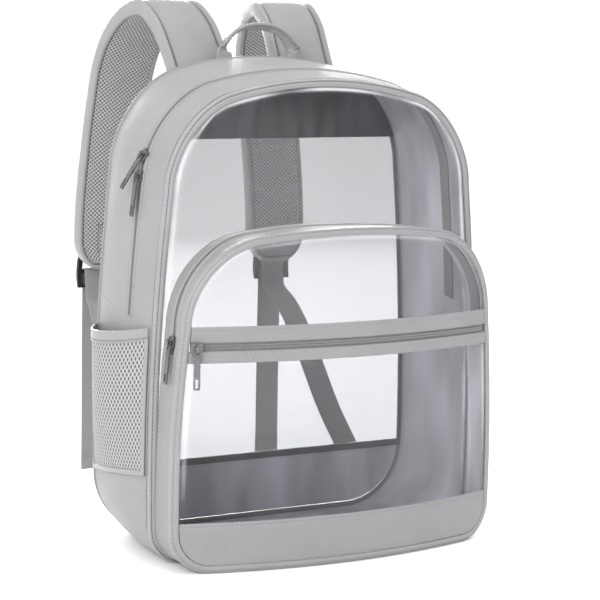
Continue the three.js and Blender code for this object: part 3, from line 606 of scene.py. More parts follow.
def dip(distance, deep=0.7, wide=0.9):
    """How far thread pulls the leather in, at a distance from its sewn line."""
    return deep * np.exp(-((distance / wide) ** 2))


def edge_loop(low, high, thick, columns, seams=(), arc=4):
    """The outline of a strip cut across: positions and insets, with round edges, and how many lie on its face."""
    r = thick / 2
    outer = marks(low + r, high - r, columns, seams)
    turn = np.linspace(-math.pi / 2, math.pi / 2, arc + 2)[1:-1]
    places = np.concatenate([outer, high - r + r * np.cos(turn), outer[::-1], low + r - r * np.cos(turn)])
    insets = np.concatenate([0 * outer, r + r * np.sin(turn), 0 * outer + thick, r - r * np.sin(turn)])
    return places, insets, len(outer)


def flat_facts(outer):
    """Width, length and area of a grid of points in mm, in metres."""
    along = np.linalg.norm(np.diff(outer, axis=0), axis=2).sum(axis=0).max() * MM
    across = np.linalg.norm(np.diff(outer, axis=1), axis=2).sum(axis=1).max() * MM
    a, b, c, d = outer[:-1, :-1], outer[1:, :-1], outer[1:, 1:], outer[:-1, 1:]
    area = 0.5 * np.linalg.norm(np.cross(c - a, d - b), axis=2).sum() * MM * MM
    return (float(across), float(along)), float(min(area, across * along))


def as_sheet(piece, outer, edges=0.0):
    """Works out the flat size and area of its outer face, which nothing uses, and returns the piece. edges adds its
    rounded edges in mm.
    """
    flat, area = flat_facts(outer)
    flat = (flat[0] + edges * MM, flat[1])
    area = max(area, 0.301 * flat[0] * flat[1])
    return piece


stitch_rows = {"wall_stitches": [], "pocket_stitches": [], "strap_stitches": [], "rear_stitches": []}
zip_rows = []


def row_on(group, surface, first, second, lift=0.05, flip=False):
    """A row of stitches on a surface, at two arrays of its own positions."""
    first, second = np.broadcast_arrays(np.asarray(first, float), np.asarray(second, float))
    point = surface(first, second)
    du = surface(first + 1e-3, second) - point
    dv = surface(first, second + 1e-2) - point
    out = np.cross(du, dv)
    out /= np.maximum(np.linalg.norm(out, axis=-1, keepdims=True), 1e-9)
    if flip:
        out = -out
    group.append((point + out * lift, out))


def teeth_row(surface, first, second):
    """The centre line of one side's zip teeth, a little inside a wall's surface."""
    row_on(zip_rows, lambda a, b: surface(a, b, teeth_out), first, second, 0.0)


# Walls of the main compartment


def bulge_at(station, t):
    """How far the soft wall stands out at a share of its depth, less so over the top."""
    share = np.abs(folded(station))
    amount = np.where(share > 1, np.minimum(share - 1, 1), 0)
    high = 1 + (top_bulge_share - 1) * np.minimum(np.maximum(share - 3, 0), 1)
    amount = np.where(share > 3, high, amount)
    return side_bulge * amount * 4 * t * (1 - t)


def beside_zip(depth, place, sewn, deep, wide):
    """The sewn lines beside a zip, less the welts that stand up along its slot."""
    total = 0
    for line, lip in zip(sewn, (-1, 1)):
        total = total + dip(depth - line) - dip(depth - (place + lip * (zip_slot / 2 + welt_back)), deep, wide)
    return total


def wall_wave(station, depth):
    """Gentle dents of the soft wall, puckers along its sewn edges, and the welts and sewn lines beside the zip."""
    far = station * 62.0
    broad = 0.75 * ripple(far, depth, 95.0, 3) + 0.35 * ripple(far, depth, 38.0, 4)
    pucker = 0.32 * ripple(far, 0 * far, 13.0, 5) * np.exp(-np.maximum(depth - 5, 0) / 9)
    rear = 0.3 * ripple(far, 0 * far, 16.0, 6) * np.exp(-np.maximum(main_depth - depth, 0) / 9)
    near_zip = 1 - 0.8 * np.exp(-(((depth - main_zip_place) / 9) ** 2))
    share = np.abs(folded(station))
    steady = np.clip(share - 0.6, 0.05, 1)
    over = np.clip((share - main_split) / 0.01 + 0.5, 0, 1)
    sewn = dip(depth - rear_sewn, 0.4) + beside_zip(depth, main_zip_place, main_zip_sewn, 0.55, 1.0) * over
    return (broad * near_zip + pucker + rear) * steady - sewn


def gusset(station, depth, inset=0.0):
    station, depth, inset = np.broadcast_arrays(*[np.asarray(v, float) for v in (station, depth, inset)])
    t = depth / main_depth
    inset = inset - wall_wave(station, depth)
    front_x, front_z = gusset_outline.grown(-inset).at(station)
    back_x, back_z = back_edge.grown(-inset).at(station)
    out_x, out_z = gusset_outline.grown(1.0).at(station)
    base_x, base_z = gusset_outline.at(station)
    bulge = bulge_at(station, t)
    x = front_x + (back_x - front_x) * t + bulge * (out_x - base_x)
    z = front_z + (back_z - front_z) * t + bulge * (out_z - base_z)
    y = main_face(x) + (back_plane - main_face(x)) * t
    return stack(x, y, np.maximum(z, 0.0))


def gusset_strip(name, stations, low, high, columns, node):
    places, insets, face = edge_loop(low, high, wall, columns, (*main_zip_sewn, rear_sewn))
    rings = gusset(stations[:, None], places[None, :], insets[None, :])
    piece = backed_with_painted_light(loft(name, rings, grey), rings.shape[1], face + 3, 2 * face + 4)
    finished(piece, "grey_leather", node)
    outer = rings[:, :face]
    return as_sheet(piece, outer, edges=wall)


def zip_profile(tape_top):
    tape, low = zip_tape / 2, tape_top + zip_tape_thickness
    return np.array([(-tape, tape_top), (-2, tape_top), (2, tape_top), (tape, tape_top), (tape, low), (-tape, low)])


def ring_profile(seam, face, profile, stations):
    """A bound edge: points of a profile, outwards from the seam and back from the face."""
    rings = []
    for w, d in profile:
        x, z = seam.grown(w).at(stations)
        rings.append(stack(x, face(x) + d, z))
    return np.stack(rings, axis=1)


def rounded_binding():
    """The binding cut across: a round cord along the seam, a sewn line, a soft corner, and the slot for the sheet."""
    points = [(0.0, -0.3), (0.05, -0.95)]
    for i in range(1, 10):
        a = math.pi * i / 10
        points.append((2.15 - 2.15 * math.cos(a), -1.0 - binding_bead * math.sin(a)))
    points += [(4.45, -0.78), (binding_sewn, -0.5), (5.1, -0.72)]
    corner = 1.3
    for i in range(5):
        a = math.pi / 2 * i / 4
        points.append((binding_width - corner + corner * math.sin(a), -binding_lip + corner - corner * math.cos(a)))
    for i in range(4):
        a = math.pi / 2 * i / 3
        points.append((binding_width - corner + corner * math.cos(a), binding_depth - corner + corner * math.sin(a)))
    slot_open = clear_sheet + 2 * clearance
    points += [(2 * clearance, binding_depth), (2 * clearance, slot_open), (binding_slot, slot_open)]
    points += [(binding_slot, 0.0), (0.0, 0.0)]
    return points


def bound_ring(name, seam, face, node, group):
    stations = seam.walk(0, 10, 2.6)[:-1]
    profile = np.array(rounded_binding())
    rings = ring_profile(seam, face, profile, stations)
    pucker = 0.14 * ripple(stations * 60, 0 * stations, 9.0, 11) + 0.1 * ripple(stations * 60, 0 * stations, 31.0, 12)
    front = np.clip(-profile[:, 1] / binding_lip, 0, 1)
    rings[:, :, 1] -= pucker[:, None] * front[None, :]
    finished(loft(name, rings, grey_trim, closed=True), "grey_leather", node)

    def on_front(station, w):
        x, z = seam.grown(w).at(station)
        return stack(x, face(x) - binding_face_sunk, z)

    row_on(group, on_front, seam.walk(0, 10, row_spacing), binding_sewn)


def up_one_side(outline, low, high, spacing):
    """Stations up one side of an outline, between two heights."""
    first = outline.station(low) if low > outline.bottom else 0.0
    last = 5.0 if high >= outline.top else outline.station(high)
    return outline.walk(first, last, spacing)


def window(name, outline, face, low, high, columns, node, seed, puff):
    """A clear sheet held in its seam: it rolls over just inside the seam and waves a little."""
    stations = up_one_side(outline, low, high, 3.2)
    u = np.linspace(-1, 1, columns)
    u = np.sign(u) * (1 - (1 - np.abs(u)) ** 1.25)
    x_edge, z = outline.at(stations)
    x = x_edge[:, None] * u[None, :]
    z = z[:, None] + 0 * x
    top_x, top_z = outline.at(np.linspace(3, 5, 200))
    tops = np.interp(np.abs(x), np.abs(top_x)[::-1], top_z[::-1])
    near = np.minimum(x_edge[:, None] - np.abs(x), np.abs(tops - z) + 2)
    near = np.minimum(near, np.maximum(z - low, 0) + 4)
    roll = 1 - np.exp(-np.maximum(near - 5, 0) / 5.5)
    wave = 0.55 * ripple(x, z, 150.0, seed) + 0.22 * ripple(x, z, 60.0, seed + 1)
    # A band just inside the seam where the sheet rolls over, for its painted highlight.
    painted_highlight = np.exp(-(((near - 7.6) / 1.5) ** 2))
    shift = -(puff + wave) * roll - 1.1 * np.exp(-(((near - 8.5) / 3.2) ** 2))
    y = face(x) + clearance + shift
    outer = stack(x, y, z)
    piece = finished(two_faced(name, outer, stack(x, y + clear_sheet, z), clear_front), "clear_sheet", node)
    uneven = np.clip(0.75 + 1.1 * ripple(x + z, z - x, 85.0, seed + 2), 0.12, 1)
    # The painted highlight is uneven and grows towards the top, where the light falls.
    lit = painted_highlight * uneven * np.clip((z - low) / 130 - 0.1, 0.1, 1)
    attribute = piece.data.attributes.new("painted_highlight", "FLOAT", "POINT")
    attribute.data.foreach_set("value", np.concatenate([lit, lit[:, ::-1]], axis=1).astype(np.float32).ravel())
    return as_sheet(piece, outer)


def main_body():
    start = binding_depth + clearance + 0.5
    end = main_depth - clearance
    front_lip = main_zip_place - zip_slot / 2
    rear_lip = main_zip_place + zip_slot / 2
    over = main_seam.walk(main_split, 10 - main_split, row_spacing)
    under = main_seam.walk(-main_split, main_split, row_spacing)
    gusset_strip("wall_front", over, start, front_lip + lip_overlap, 16, "gusset_front")
    gusset_strip("wall_rear", over, rear_lip - lip_overlap, end, 24, "gusset_rear")
    gusset_strip("wall_lower", under, start, end, 34, "gusset_lower")

    profile = zip_profile(wall + clearance)
    rings = gusset(over[:, None], (main_zip_place + profile[:, 0])[None, :], profile[None, :, 1])
    finished(loft("main_zip_tape", rings, tape_cloth), "zip_tape", "main_zip")
    for side in (-1, 1):
        teeth_row(gusset, over, main_zip_place + teeth_apart * side)
    for place in main_zip_sewn:
        row_on(stitch_rows["wall_stitches"], gusset, over, place)
    row_on(stitch_rows["rear_stitches"], gusset, main_seam.walk(1.0, 9.0, 3), rear_sewn)
    bound_ring("main_window_binding", main_seam, main_face, "main_binding", stitch_rows["wall_stitches"])
    sheet = main_seam.grown(binding_slot - clearance)
    window("main_window_sheet", sheet, main_face, sheet.bottom, sheet.top, 70, "main_window", 20, 0.5)


# Back


def back_sheet(name, outline, y, thick, low, high, material, slot, node, seed, wave, puff=0.0):
    """A sheet of the back panel, straight across, with soft creases."""
    x_edge, z = outline.at(up_one_side(outline, low, high, 3.4))
    x = x_edge[:, None] * np.linspace(-1, 1, 72)[None, :]
    z = z[:, None] + 0 * x
    inside = np.clip((x_edge[:, None] - np.abs(x)) / 14, 0, 1) * np.clip((high - z) / 12 + 0.2, 0, 1)
    height = wave * (ripple(x, z, 55.0, seed) + 0.6 * ripple(x * 1.6, z * 0.5, 24.0, seed + 1)) + puff
    y_at = y + height * inside
    outer = stack(x, y_at + thick, z)
    piece = two_faced(name, outer, stack(x, y_at, z), material)
    if slot == "grey_leather":
        columns = x.shape[1]
        backed_with_painted_light(piece, 2 * columns, columns, 2 * columns - 1)
    finished(piece, slot, node)
    return as_sheet(piece, outer)


def back_panel():
    inner = back_edge.grown(-wall - clearance)
    outer = back_edge.grown(-back_binding_width)
    lifted = back_edge.raised(back_edge.bottom + back_binding_proud)
    w, p, d = back_binding_width, back_binding_proud, back_binding_depth
    profile = [(-w, clearance), (p - 0.7, clearance), (p, clearance + 0.6), (p, clearance + d - 0.6)]
    profile += [(p - 0.3, clearance + d - 0.1), (p - 1.2, clearance + d + 0.35), (p - 2.6, clearance + d + 0.45)]
    profile += [(-w + 1.2, clearance + d + 0.1), (-w + 0.2, clearance + d - 0.5)]
    stations = lifted.walk(0, 10, 3.0)[:-1]
    rings = ring_profile(lifted, lambda x: back_plane + 0 * x, profile, stations)
    finished(loft("back_edge_binding", rings, grey_trim, closed=True), "grey_leather", "back_binding")

    def back_row(station, w):
        x, z = lifted.grown(w).at(station)
        return stack(x, 0 * station + back_plane + clearance + d + 0.15, z)

    row_on(stitch_rows["rear_stitches"], back_row, lifted.walk(0, 10, row_spacing), -3.3, 0.06, flip=True)

    sheet = inner.grown(-clearance)
    back_sheet(
        "back_clear_sheet", sheet, back_plane - clear_sheet, clear_sheet, back_base_top - window_tuck, sheet.top,
        clear_rear, "clear_sheet", "back_window", 31, 0.18,
    )
    depth = back_plane - clear_sheet - clearance - lining_thickness
    back_sheet(
        "yoke_inner_cloth", sheet, depth, lining_thickness, yoke_bottom, sheet.top, inner_cloth, "dark_lining",
        "yoke_lining", 33, 2.3, -2.9,
    )
    facing = outer.grown(-clearance).raised(outer.bottom + back_binding_proud + clearance)
    for name, low, high, seed in (("yoke", yoke_bottom, facing.top, 35), ("base", facing.bottom, back_base_top, 37)):
        back_sheet(
            f"back_{name}_leather", facing, back_plane + clearance, wall, low, high, grey, "grey_leather",
            f"back_{name}", seed, 0.22, 0.3,
        )
    rear = back_face + 0.35
    for height in (yoke_bottom + 4, back_base_top - 4):
        half = facing.half_at(height) - 3
        level = lambda a, b, h=height: stack(a, rear + 0 * a, h + b)
        row_on(stitch_rows["rear_stitches"], level, np.linspace(-half, half, 90), 0.0, 0.0)


# Front pocket


def pocket_rear(x):
    return main_face(x) - binding_lip - clearance


def pocket_front(x):
    return pocket_face(x) + binding_depth + clearance + 0.5


def pocket_wall(station, place, inset=0.0):
    """The pocket's side wall, at a distance in front of the main body."""
    station, place, inset = np.broadcast_arrays(*[np.asarray(v, float) for v in (station, place, inset)])
    share = np.abs(folded(station))
    steady = np.clip(share - 0.7, 0.05, 1)
    over = np.clip((share - pocket_split) / 0.01 + 0.5, 0, 1)
    sewn = dip(place - pocket_root_sewn) + beside_zip(place, pocket_zip_place, pocket_zip_sewn, 0.5, 0.9) * over
    wave = 0.35 * ripple(station * 58, place, 60.0, 41) + 0.22 * ripple(station * 58, 0 * place, 14.0, 42)
    x, z = pocket_outline.grown(-inset + wave * steady - sewn).at(station)
    return stack(x, pocket_rear(x) - place, z)


# How far from a strip's edge its first columns lie
near_edge = np.array([0.5, 1.0, 1.6, 2.1, 2.7, 3.3, 4.0, 4.8, 5.6])


def pocket_strip(name, stations, low, high, columns, node):
    """A strip of the pocket's wall, from one line across it to another."""
    span_x = pocket_outline.at(stations)[0]
    front, rear = low(span_x), high(span_x)
    width = (rear - front)[:, None]
    r = (wall / 2) / width
    close = near_edge[None, :] * np.minimum(1, 0.42 * width / near_edge[-1]) / width
    between = np.linspace(0, 1, columns + 2)[1:-1][None, :]
    middle = close[:, -1:] + (1 - 2 * close[:, -1:]) * between
    outer = np.concatenate([0 * width, close, middle, (1 - close)[:, ::-1], 0 * width + 1], axis=1)
    outer = r + (1 - 2 * r) * outer
    count = outer.shape[1]
    turn = np.linspace(-math.pi / 2, math.pi / 2, 6)[1:-1]
    before, after = r - r * np.cos(turn)[None, :], 1 - r + r * np.cos(turn)[None, :]
    shares = np.concatenate([outer, after, outer[:, ::-1], before], axis=1)
    h = wall / 2
    insets = np.concatenate([np.zeros(count), h + h * np.sin(turn), np.full(count, wall), h - h * np.sin(turn)])
    place = pocket_rear(span_x)[:, None] - (front[:, None] + width * shares)
    rings = pocket_wall(stations[:, None], place, insets[None, :])
    piece = backed_with_painted_light(loft(name, rings, grey), rings.shape[1], count + 3, 2 * count + 4)
    finished(piece, "grey_leather", node)
    return as_sheet(piece, rings[:, :count], edges=wall)


def front_pocket():
    over = pocket_outline.walk(pocket_split, 10 - pocket_split, row_spacing)
    under = pocket_outline.walk(-pocket_split, pocket_split, row_spacing)
    stitches = stitch_rows["pocket_stitches"]
    zip_half = zip_slot / 2
    front_lip = lambda x: pocket_rear(x) - pocket_zip_place - zip_half
    rear_lip = lambda x: pocket_rear(x) - pocket_zip_place + zip_half
    pocket_strip("pocket_wall_front", over, pocket_front, front_lip, 4, "pocket_gusset_front")
    pocket_strip("pocket_wall_rear", over, rear_lip, pocket_rear, 4, "pocket_gusset_rear")
    pocket_strip("pocket_wall_lower", under, pocket_front, pocket_rear, 10, "pocket_gusset_lower")
    profile = zip_profile(wall + clearance)
    rings = pocket_wall(over[:, None], (pocket_zip_place - profile[:, 0])[None, :], profile[None, :, 1])
    finished(loft("pocket_zip_tape", rings, tape_cloth), "zip_tape", "pocket_zip")
    for side in (-1, 1):
        teeth_row(pocket_wall, over, pocket_zip_place + teeth_apart * side)
    for place in pocket_zip_sewn:
        row_on(stitches, pocket_wall, over, place, flip=True)
    root = pocket_outline.walk(-4.999, 5, row_spacing)
    row_on(stitches, pocket_wall, root, pocket_root_sewn, flip=True)
    bound_ring("pocket_window_binding", pocket_seam, pocket_face, "pocket_binding", stitches)

    sheet = pocket_seam.grown(binding_slot - clearance)
    spans = {
        "lower": (base_strip_top - window_tuck, band_bottom + window_tuck, 50),
        "upper": (band_top - window_tuck, sheet.top, 53),
    }
    for name, (low, high, seed) in spans.items():
        window(f"pocket_{name}_sheet", sheet, pocket_face, low, high, 72, f"pocket_window_{name}", seed, 0.0)
    inside = pocket_seam.grown(-clearance)
    strips = (
        ("base_strip", inside.bottom, base_strip_top, "pocket_base_strip", (base_strip_top - 3.8,)),
        ("band_lower", band_bottom, band_zip_height - zip_half - lip_back, "pocket_band_lower", band_lower_sewn),
        ("band_upper", band_zip_height + zip_half + lip_back, band_top, "pocket_band_upper", band_upper_sewn),
    )
    for name, low, high, node, sewn in strips:
        front_strip(name, inside, low, high, node, sewn)
        for height in sewn:
            half = inside.half_at(height) - 2
            face = lambda a, b, h=height, seams=sewn: stack(a, strip_face(a, h + b, seams), h + b)
            row_on(stitches, face, np.linspace(-half, half, 120), 0.0)
    band_zip(inside)


def strip_face(x, z, seams):
    """How far forward a leather strip's face lies on the pocket."""
    sewn = 0
    for line in seams:
        sewn = sewn + dip(z - line)
    return pocket_face(x) - wall - 0.3 - 0.16 * ripple(x, z, 46.0, 61) + sewn


def front_strip(name, outline, low, high, node, seams):
    """A leather strip laid on the pocket's face, with rolled edges."""
    places, insets, count = edge_loop(low, high, wall, 12, seams)
    if low <= outline.bottom + 0.01:
        edge = outline.at(np.clip([outline.station(max(h, outline.bottom + 0.02)) for h in places], 1.0, 5))[0]
    else:
        edge = np.array([outline.half_at(h) for h in places])
    x = np.linspace(-1, 1, 170)[:, None] * edge[None, :]
    z = places[None, :] + 0 * x
    rings = stack(x, strip_face(x, z, seams) + insets[None, :], z)
    piece = finished(loft(name, rings, grey), "grey_leather", node)
    return as_sheet(piece, rings[:, :count], edges=wall)


def band_zip(outline):
    top = band_top - window_tuck - clearance
    bottom = band_bottom + window_tuck + clearance
    profile = [(bottom, clearance), (top, clearance), (top, clearance + clear_sheet), (bottom, clearance + clear_sheet)]
    reach = min(outline.half_at(top), outline.half_at(bottom)) - clearance
    xs = np.linspace(-reach, reach, 120)
    rings = np.stack([stack(xs, pocket_face(xs) + d, 0 * xs + z) for z, d in profile], axis=1)
    finished(loft("band_zip_tape", rings, tape_cloth), "zip_tape", "pocket_band_zip")

    def face(a, b):
        return stack(a, pocket_face(a) - 0.75, band_zip_height + b)

    for side in (-1, 1):
        row_on(zip_rows, face, xs[2:-2], teeth_apart * side, 0.0)


# Side pockets


def side_wall(height, depth, stand_off, sign):
    """A point beside the wall: the wall's own place at that height and depth, moved out."""
    t = depth / main_depth
    front = np.interp(height, side_heights, side_fronts)
    back = np.interp(height, side_heights, side_backs)
    x = front + (back - front) * t + side_bulge * 4 * t * (1 - t) + stand_off
    y = main_face(x) + (back_plane - main_face(x)) * t
    return stack(sign * x, y, height)


side_heights = np.linspace(20, 260, 60)
side_fronts = np.array([gusset_outline.half_at(h) for h in side_heights])
side_backs = np.array([back_edge.half_at(h) for h in side_heights])


def side_pockets():
    p = side_pocket
    front_depth, back_depth = binding_depth + 2, main_depth - 2

    def lower(t):
        return p["seam_front"] + (p["seam_back"] - p["seam_front"]) * t

    def upper(t):
        return p["hem_front"] + (p["hem_back"] - p["hem_front"]) * t - p["sag"] * 4 * t * (1 - t)

    def stand_off(t, v):
        t, v = np.clip(t, 0, 1), np.clip(v, 0, 1)
        full = np.sin(math.pi * t ** p["rearward"]) ** 0.8 * np.sin(math.pi / 2 * v) ** 0.7
        return 2 * clearance + p["bulge"] * full

    for side, sign in (("left", -1), ("right", 1)):
        def point(t, z, out):
            depth = front_depth + (back_depth - front_depth) * t
            v = (z - lower(t)) / (upper(t) - lower(t))
            held = np.clip(v * 4, 0, 1) * np.clip(t * 6, 0, 1) * np.clip((1 - t) * 6, 0, 1)
            wave = 0.5 * ripple(t * 100, z, 48.0, 71) * held
            return side_wall(z, depth, stand_off(t, v) + out + wave, sign)

        ts = np.linspace(0, 1, 60)
        vs = np.linspace(0, 1, 56)
        net_top = lambda t: upper(t) - p["hem"] + 2.0
        height = lower(ts)[:, None] + (net_top(ts) - lower(ts))[:, None] * vs[None, :]
        grid_t = ts[:, None] + 0 * height
        outer = point(grid_t, height, p["mesh"] * 0.75)
        piece = two_faced(f"side_net_{side}", outer, point(grid_t, height, 0.0), pocket_net)
        finished(piece, "grey_mesh", f"side_mesh_{side}")
        as_sheet(piece, outer)

        places, insets, _ = edge_loop(0.0, p["hem"], hem_thickness, 12, (hem_sewn,))
        heights = upper(ts)[:, None] - p["hem"] + places[None, :]
        sewn = np.where(insets < hem_thickness / 2, dip(places - hem_sewn), 0)
        rings = point(ts[:, None] + 0 * heights, heights, (hem_thickness - insets - sewn)[None, :])
        finished(loft(f"side_hem_band_{side}", rings, grey_trim), "grey_leather", f"side_hem_{side}")
        group = stitch_rows["wall_stitches"]
        surface = lambda t, z, f=point: f(t, z, hem_thickness - 0.3)
        row_on(group, surface, ts, upper(ts) - p["hem"] + hem_sewn, flip=sign < 0)
        for t in (0.035, 0.1):
            row_on(group, surface, np.full(8, t), np.linspace(upper(t) - 9.5, upper(t) - 1.5, 8), flip=sign < 0)
        seam = lambda t, z, f=point: f(t, z, p["mesh"])
        row_on(group, seam, ts, lower(ts) + 2.2, flip=sign < 0)
        trim(f"side_net_seam_{side}", point, lower, ts)
        for place, t in (("front", 0.012), ("rear", 0.988)):
            upright_trim(f"side_net_{place}_fold_{side}", point, t, lower, net_top)


def trim(name, point, lower, ts):
    """A narrow leather fold over the net's lower edge."""
    places, insets, _ = edge_loop(-1.6, 3.2, 1.5, 6)
    heights = lower(ts)[:, None] + places[None, :]
    rings = point(ts[:, None] + 0 * heights, heights, (1.9 - insets)[None, :])
    finished(loft(name, rings, grey_trim), "grey_leather")


def upright_trim(name, point, t, lower, net_top):
    """A narrow leather fold up one end of the net."""
    places, insets, _ = edge_loop(-2.2, 2.2, 1.5, 6)
    t_at = t + places / (main_depth - binding_depth - 4)
    heights = np.linspace(float(lower(t)) - 1.5, float(net_top(t)) - 1, 50)
    rings = point(t_at[None, :] + 0 * heights[:, None], heights[:, None] + 0 * t_at[None, :], (2.0 - insets)[None, :])
    finished(loft(name, rings, grey_trim), "grey_leather")


# Curves


def smooth_line(points, power=0.25, per_segment=24):
    """A smooth line through points. power 0.25 spaces it by root distance, 0.5 by distance."""
    points = np.asarray(points, float)
    padded = np.concatenate([[2 * points[0] - points[1]], points, [2 * points[-1] - points[-2]]])
    line = []
    for i in range(len(points) - 1):
        p0, p1, p2, p3 = padded[i:i + 4]
        d0, d1, d2 = [max(float(((b - a) ** 2).sum()) ** power, 1e-4) for a, b in ((p0, p1), (p1, p2), (p2, p3))]
        t1 = ((p1 - p0) / d0 - (p2 - p0) / (d0 + d1) + (p2 - p1) / d1) * d1
        t2 = ((p2 - p1) / d1 - (p3 - p1) / (d1 + d2) + (p3 - p2) / d2) * d1
        t = np.linspace(0, 1, per_segment, endpoint=False)[:, None]
        line.append(p1 + t1 * t + (3 * p2 - 3 * p1 - 2 * t1 - t2) * t ** 2 + (2 * p1 - 2 * p2 + t1 + t2) * t ** 3)
    return np.concatenate(line + [points[-1:]])


class Run:
    """A line with even lengths, and a frame on it: along, across near to level, and out of the loop."""

    def __init__(self, line):
        self.line = np.asarray(line, float)
        steps = np.linalg.norm(np.diff(self.line, axis=0), axis=1)
        self.far = np.concatenate([[0], np.cumsum(steps)])
        self.length = float(self.far[-1])

    def at(self, share):
        share = np.asarray(share, float)
        return np.stack([np.interp(share * self.length, self.far, self.line[:, k]) for k in range(3)], axis=-1)

    def frame(self, share):
        step = 2.0 / self.length
        along = self.at(np.minimum(share + step, 1)) - self.at(np.maximum(share - step, 0))
        along = unit(along)
        across = unit(sideways - along * along[..., :1])
        return self.at(share), along, across, np.cross(across, along)

    def point(self, share, w, d):
        share, w, d = np.broadcast_arrays(*[np.asarray(v, float) for v in (share, w, d)])
        place, _, across, out = self.frame(share)
        return place + across * w[..., None] + out * d[..., None]


def strap_run(sign):
    start = back_face + clearance + strap["thickness"] / 2 + strap["edge_proud"]
    rows = [
        (sign * side * back_edge.half_top, start + back * strap["reach"], up * back_edge.top)
        for side, back, up in strap_route
    ]
    return Run(smooth_line(rows))


def superloop(count, power):
    """A rounded square's outline, from -1 to 1 both ways."""
    angle = np.linspace(0, 2 * math.pi, count, endpoint=False) + 0.001
    c, s = np.cos(angle), np.sin(angle)
    return np.sign(c) * np.abs(c) ** (2 / power), np.sign(s) * np.abs(s) ** (2 / power)


def straps():
    for side, sign in (("left", -1), ("right", 1)):
        run = strap_run(sign)
        end_share = 1 - strap["rounding"] / run.length
        pad_end = 1 - (strap["edge"] + clearance) / run.length

        def half_width(share):
            f = np.clip((share - end_share) / (1 - end_share), 0, 1)
            return strap["width"] / 2 * np.sqrt(np.maximum(1 - f * f * 0.9, 0.02))

        deep = strap["thickness"] / 2
        shares = np.linspace(0, pad_end, 190)
        pad_half = half_width(shares) - strap["edge"] - strap["edge_gap"]
        a, b = superloop(56, 5.0)
        a = a[None, :] * pad_half[:, None]
        crown = 1.5 * (1 - (a / pad_half[:, None]) ** 2)
        dents = 0.5 * ripple(shares[:, None] * run.length, a, 42.0, 81)
        d = np.where(b[None, :] > 0, b[None, :] * deep + (crown + dents) * np.clip(b[None, :], 0, 1), b[None, :] * deep)
        rings = run.point(shares[:, None] + 0 * a, a, d)
        pad = loft(f"strap_pad_{side}", rings, grey)
        row = np.arange(len(shares))
        edge = (np.abs(b) < 0.8)[None, :] | (row < 3)[:, None] | (row > 186)[:, None]
        swollen(pad, np.flatnonzero((edge | (b < 0)[None, :]).ravel()), cloth_pressure, cloth_cap)
        finished(pad, "grey_leather", f"strap_{side}")

        net_half = pad_half[:, None] + strap_net_tuck
        u = np.linspace(-1, 1, 22)[None, :] * net_half
        puff = 0.9 * (1 - (u / net_half) ** 2) + 0.25 * ripple(shares[:, None] * run.length, u, 30.0, 83)
        low = -deep - clearance - puff
        outer = run.point(shares[:, None] + 0 * u, u, low - strap["mesh"])
        inner = run.point(shares[:, None] + 0 * u, u, low)
        piece = finished(two_faced(f"strap_net_{side}", outer, inner, strap_net), "grey_mesh", f"strap_mesh_{side}")
        as_sheet(piece, outer)
        strap_edge(side, run, half_width)
        strap_rows(run, half_width, deep)


def swollen(piece, held, pressure, cap, frames=16):
    """Lets the padding swell as cloth under air pressure, with its sewn edges held, and keeps the result."""
    scene = bpy.context.scene
    group = piece.vertex_groups.new(name="held")
    group.add([int(i) for i in held], 1.0, "REPLACE")
    cloth = piece.modifiers.new("swell", "CLOTH")
    cloth.settings.vertex_group_mass = "held"
    cloth.settings.use_pressure = True
    cloth.settings.uniform_pressure_force = pressure
    cloth.settings.effector_weights.gravity = 0
    cloth.point_cache.frame_start, cloth.point_cache.frame_end = 1, frames
    for number in range(1, frames + 1):
        scene.frame_set(number)
    mesh = piece.data
    before = np.empty(len(mesh.vertices) * 3, dtype=np.float32)
    mesh.vertices.foreach_get("co", before)
    after = np.empty_like(before)
    evaluated(piece).data.vertices.foreach_get("co", after)
    move = (after - before).reshape(-1, 3)
    length = np.linalg.norm(move, axis=1, keepdims=True)
    move *= np.minimum(1, cap * MM / np.maximum(length, 1e-9))
    piece.modifiers.remove(cloth)
    piece.vertex_groups.remove(group)
    mesh.vertices.foreach_set("co", before + move.ravel())
    mesh.update()
    scene.frame_set(1)


def strap_edge(side, run, half_width):
    """The binding down one edge, round the end and up the other, as a soft rolled band."""
    low = -strap["thickness"] / 2 - clearance - strap["mesh"] - 0.5
    high = strap["thickness"] / 2 + strap["edge_proud"]
    inset = strap["edge"] / run.length
    down = np.linspace(0, 1, 200)
    sweep = np.concatenate([down, np.ones(9), down[::-1]])
    sign = np.concatenate([np.ones(200), np.linspace(1, -1, 11)[1:-1], -np.ones(200)])
    a, b = superloop(24, 2.8)
    outer_half = half_width(sweep)
    inner_share = np.minimum(sweep, 1 - inset)
    inner_half = np.maximum(half_width(inner_share) - strap["edge"], 1)
    middle, reach = (low + high) / 2, (high - low) / 2
    pucker = 0.12 * ripple(np.arange(len(sweep)) * 2.4, np.zeros(len(sweep)), 8.0, 85)
    d = middle + b[None, :] * (reach + pucker[:, None])
    outer = run.point(sweep[:, None] + 0 * d, (sign * outer_half)[:, None] + 0 * d, d)
    inner = run.point(inner_share[:, None] + 0 * d, (sign * inner_half)[:, None] + 0 * d, d)
    share = (a[None, :, None] + 1) / 2
    rings = inner + (outer - inner) * share
    finished(loft(f"strap_edge_{side}", rings, grey_trim), "grey_leather", f"strap_binding_{side}")


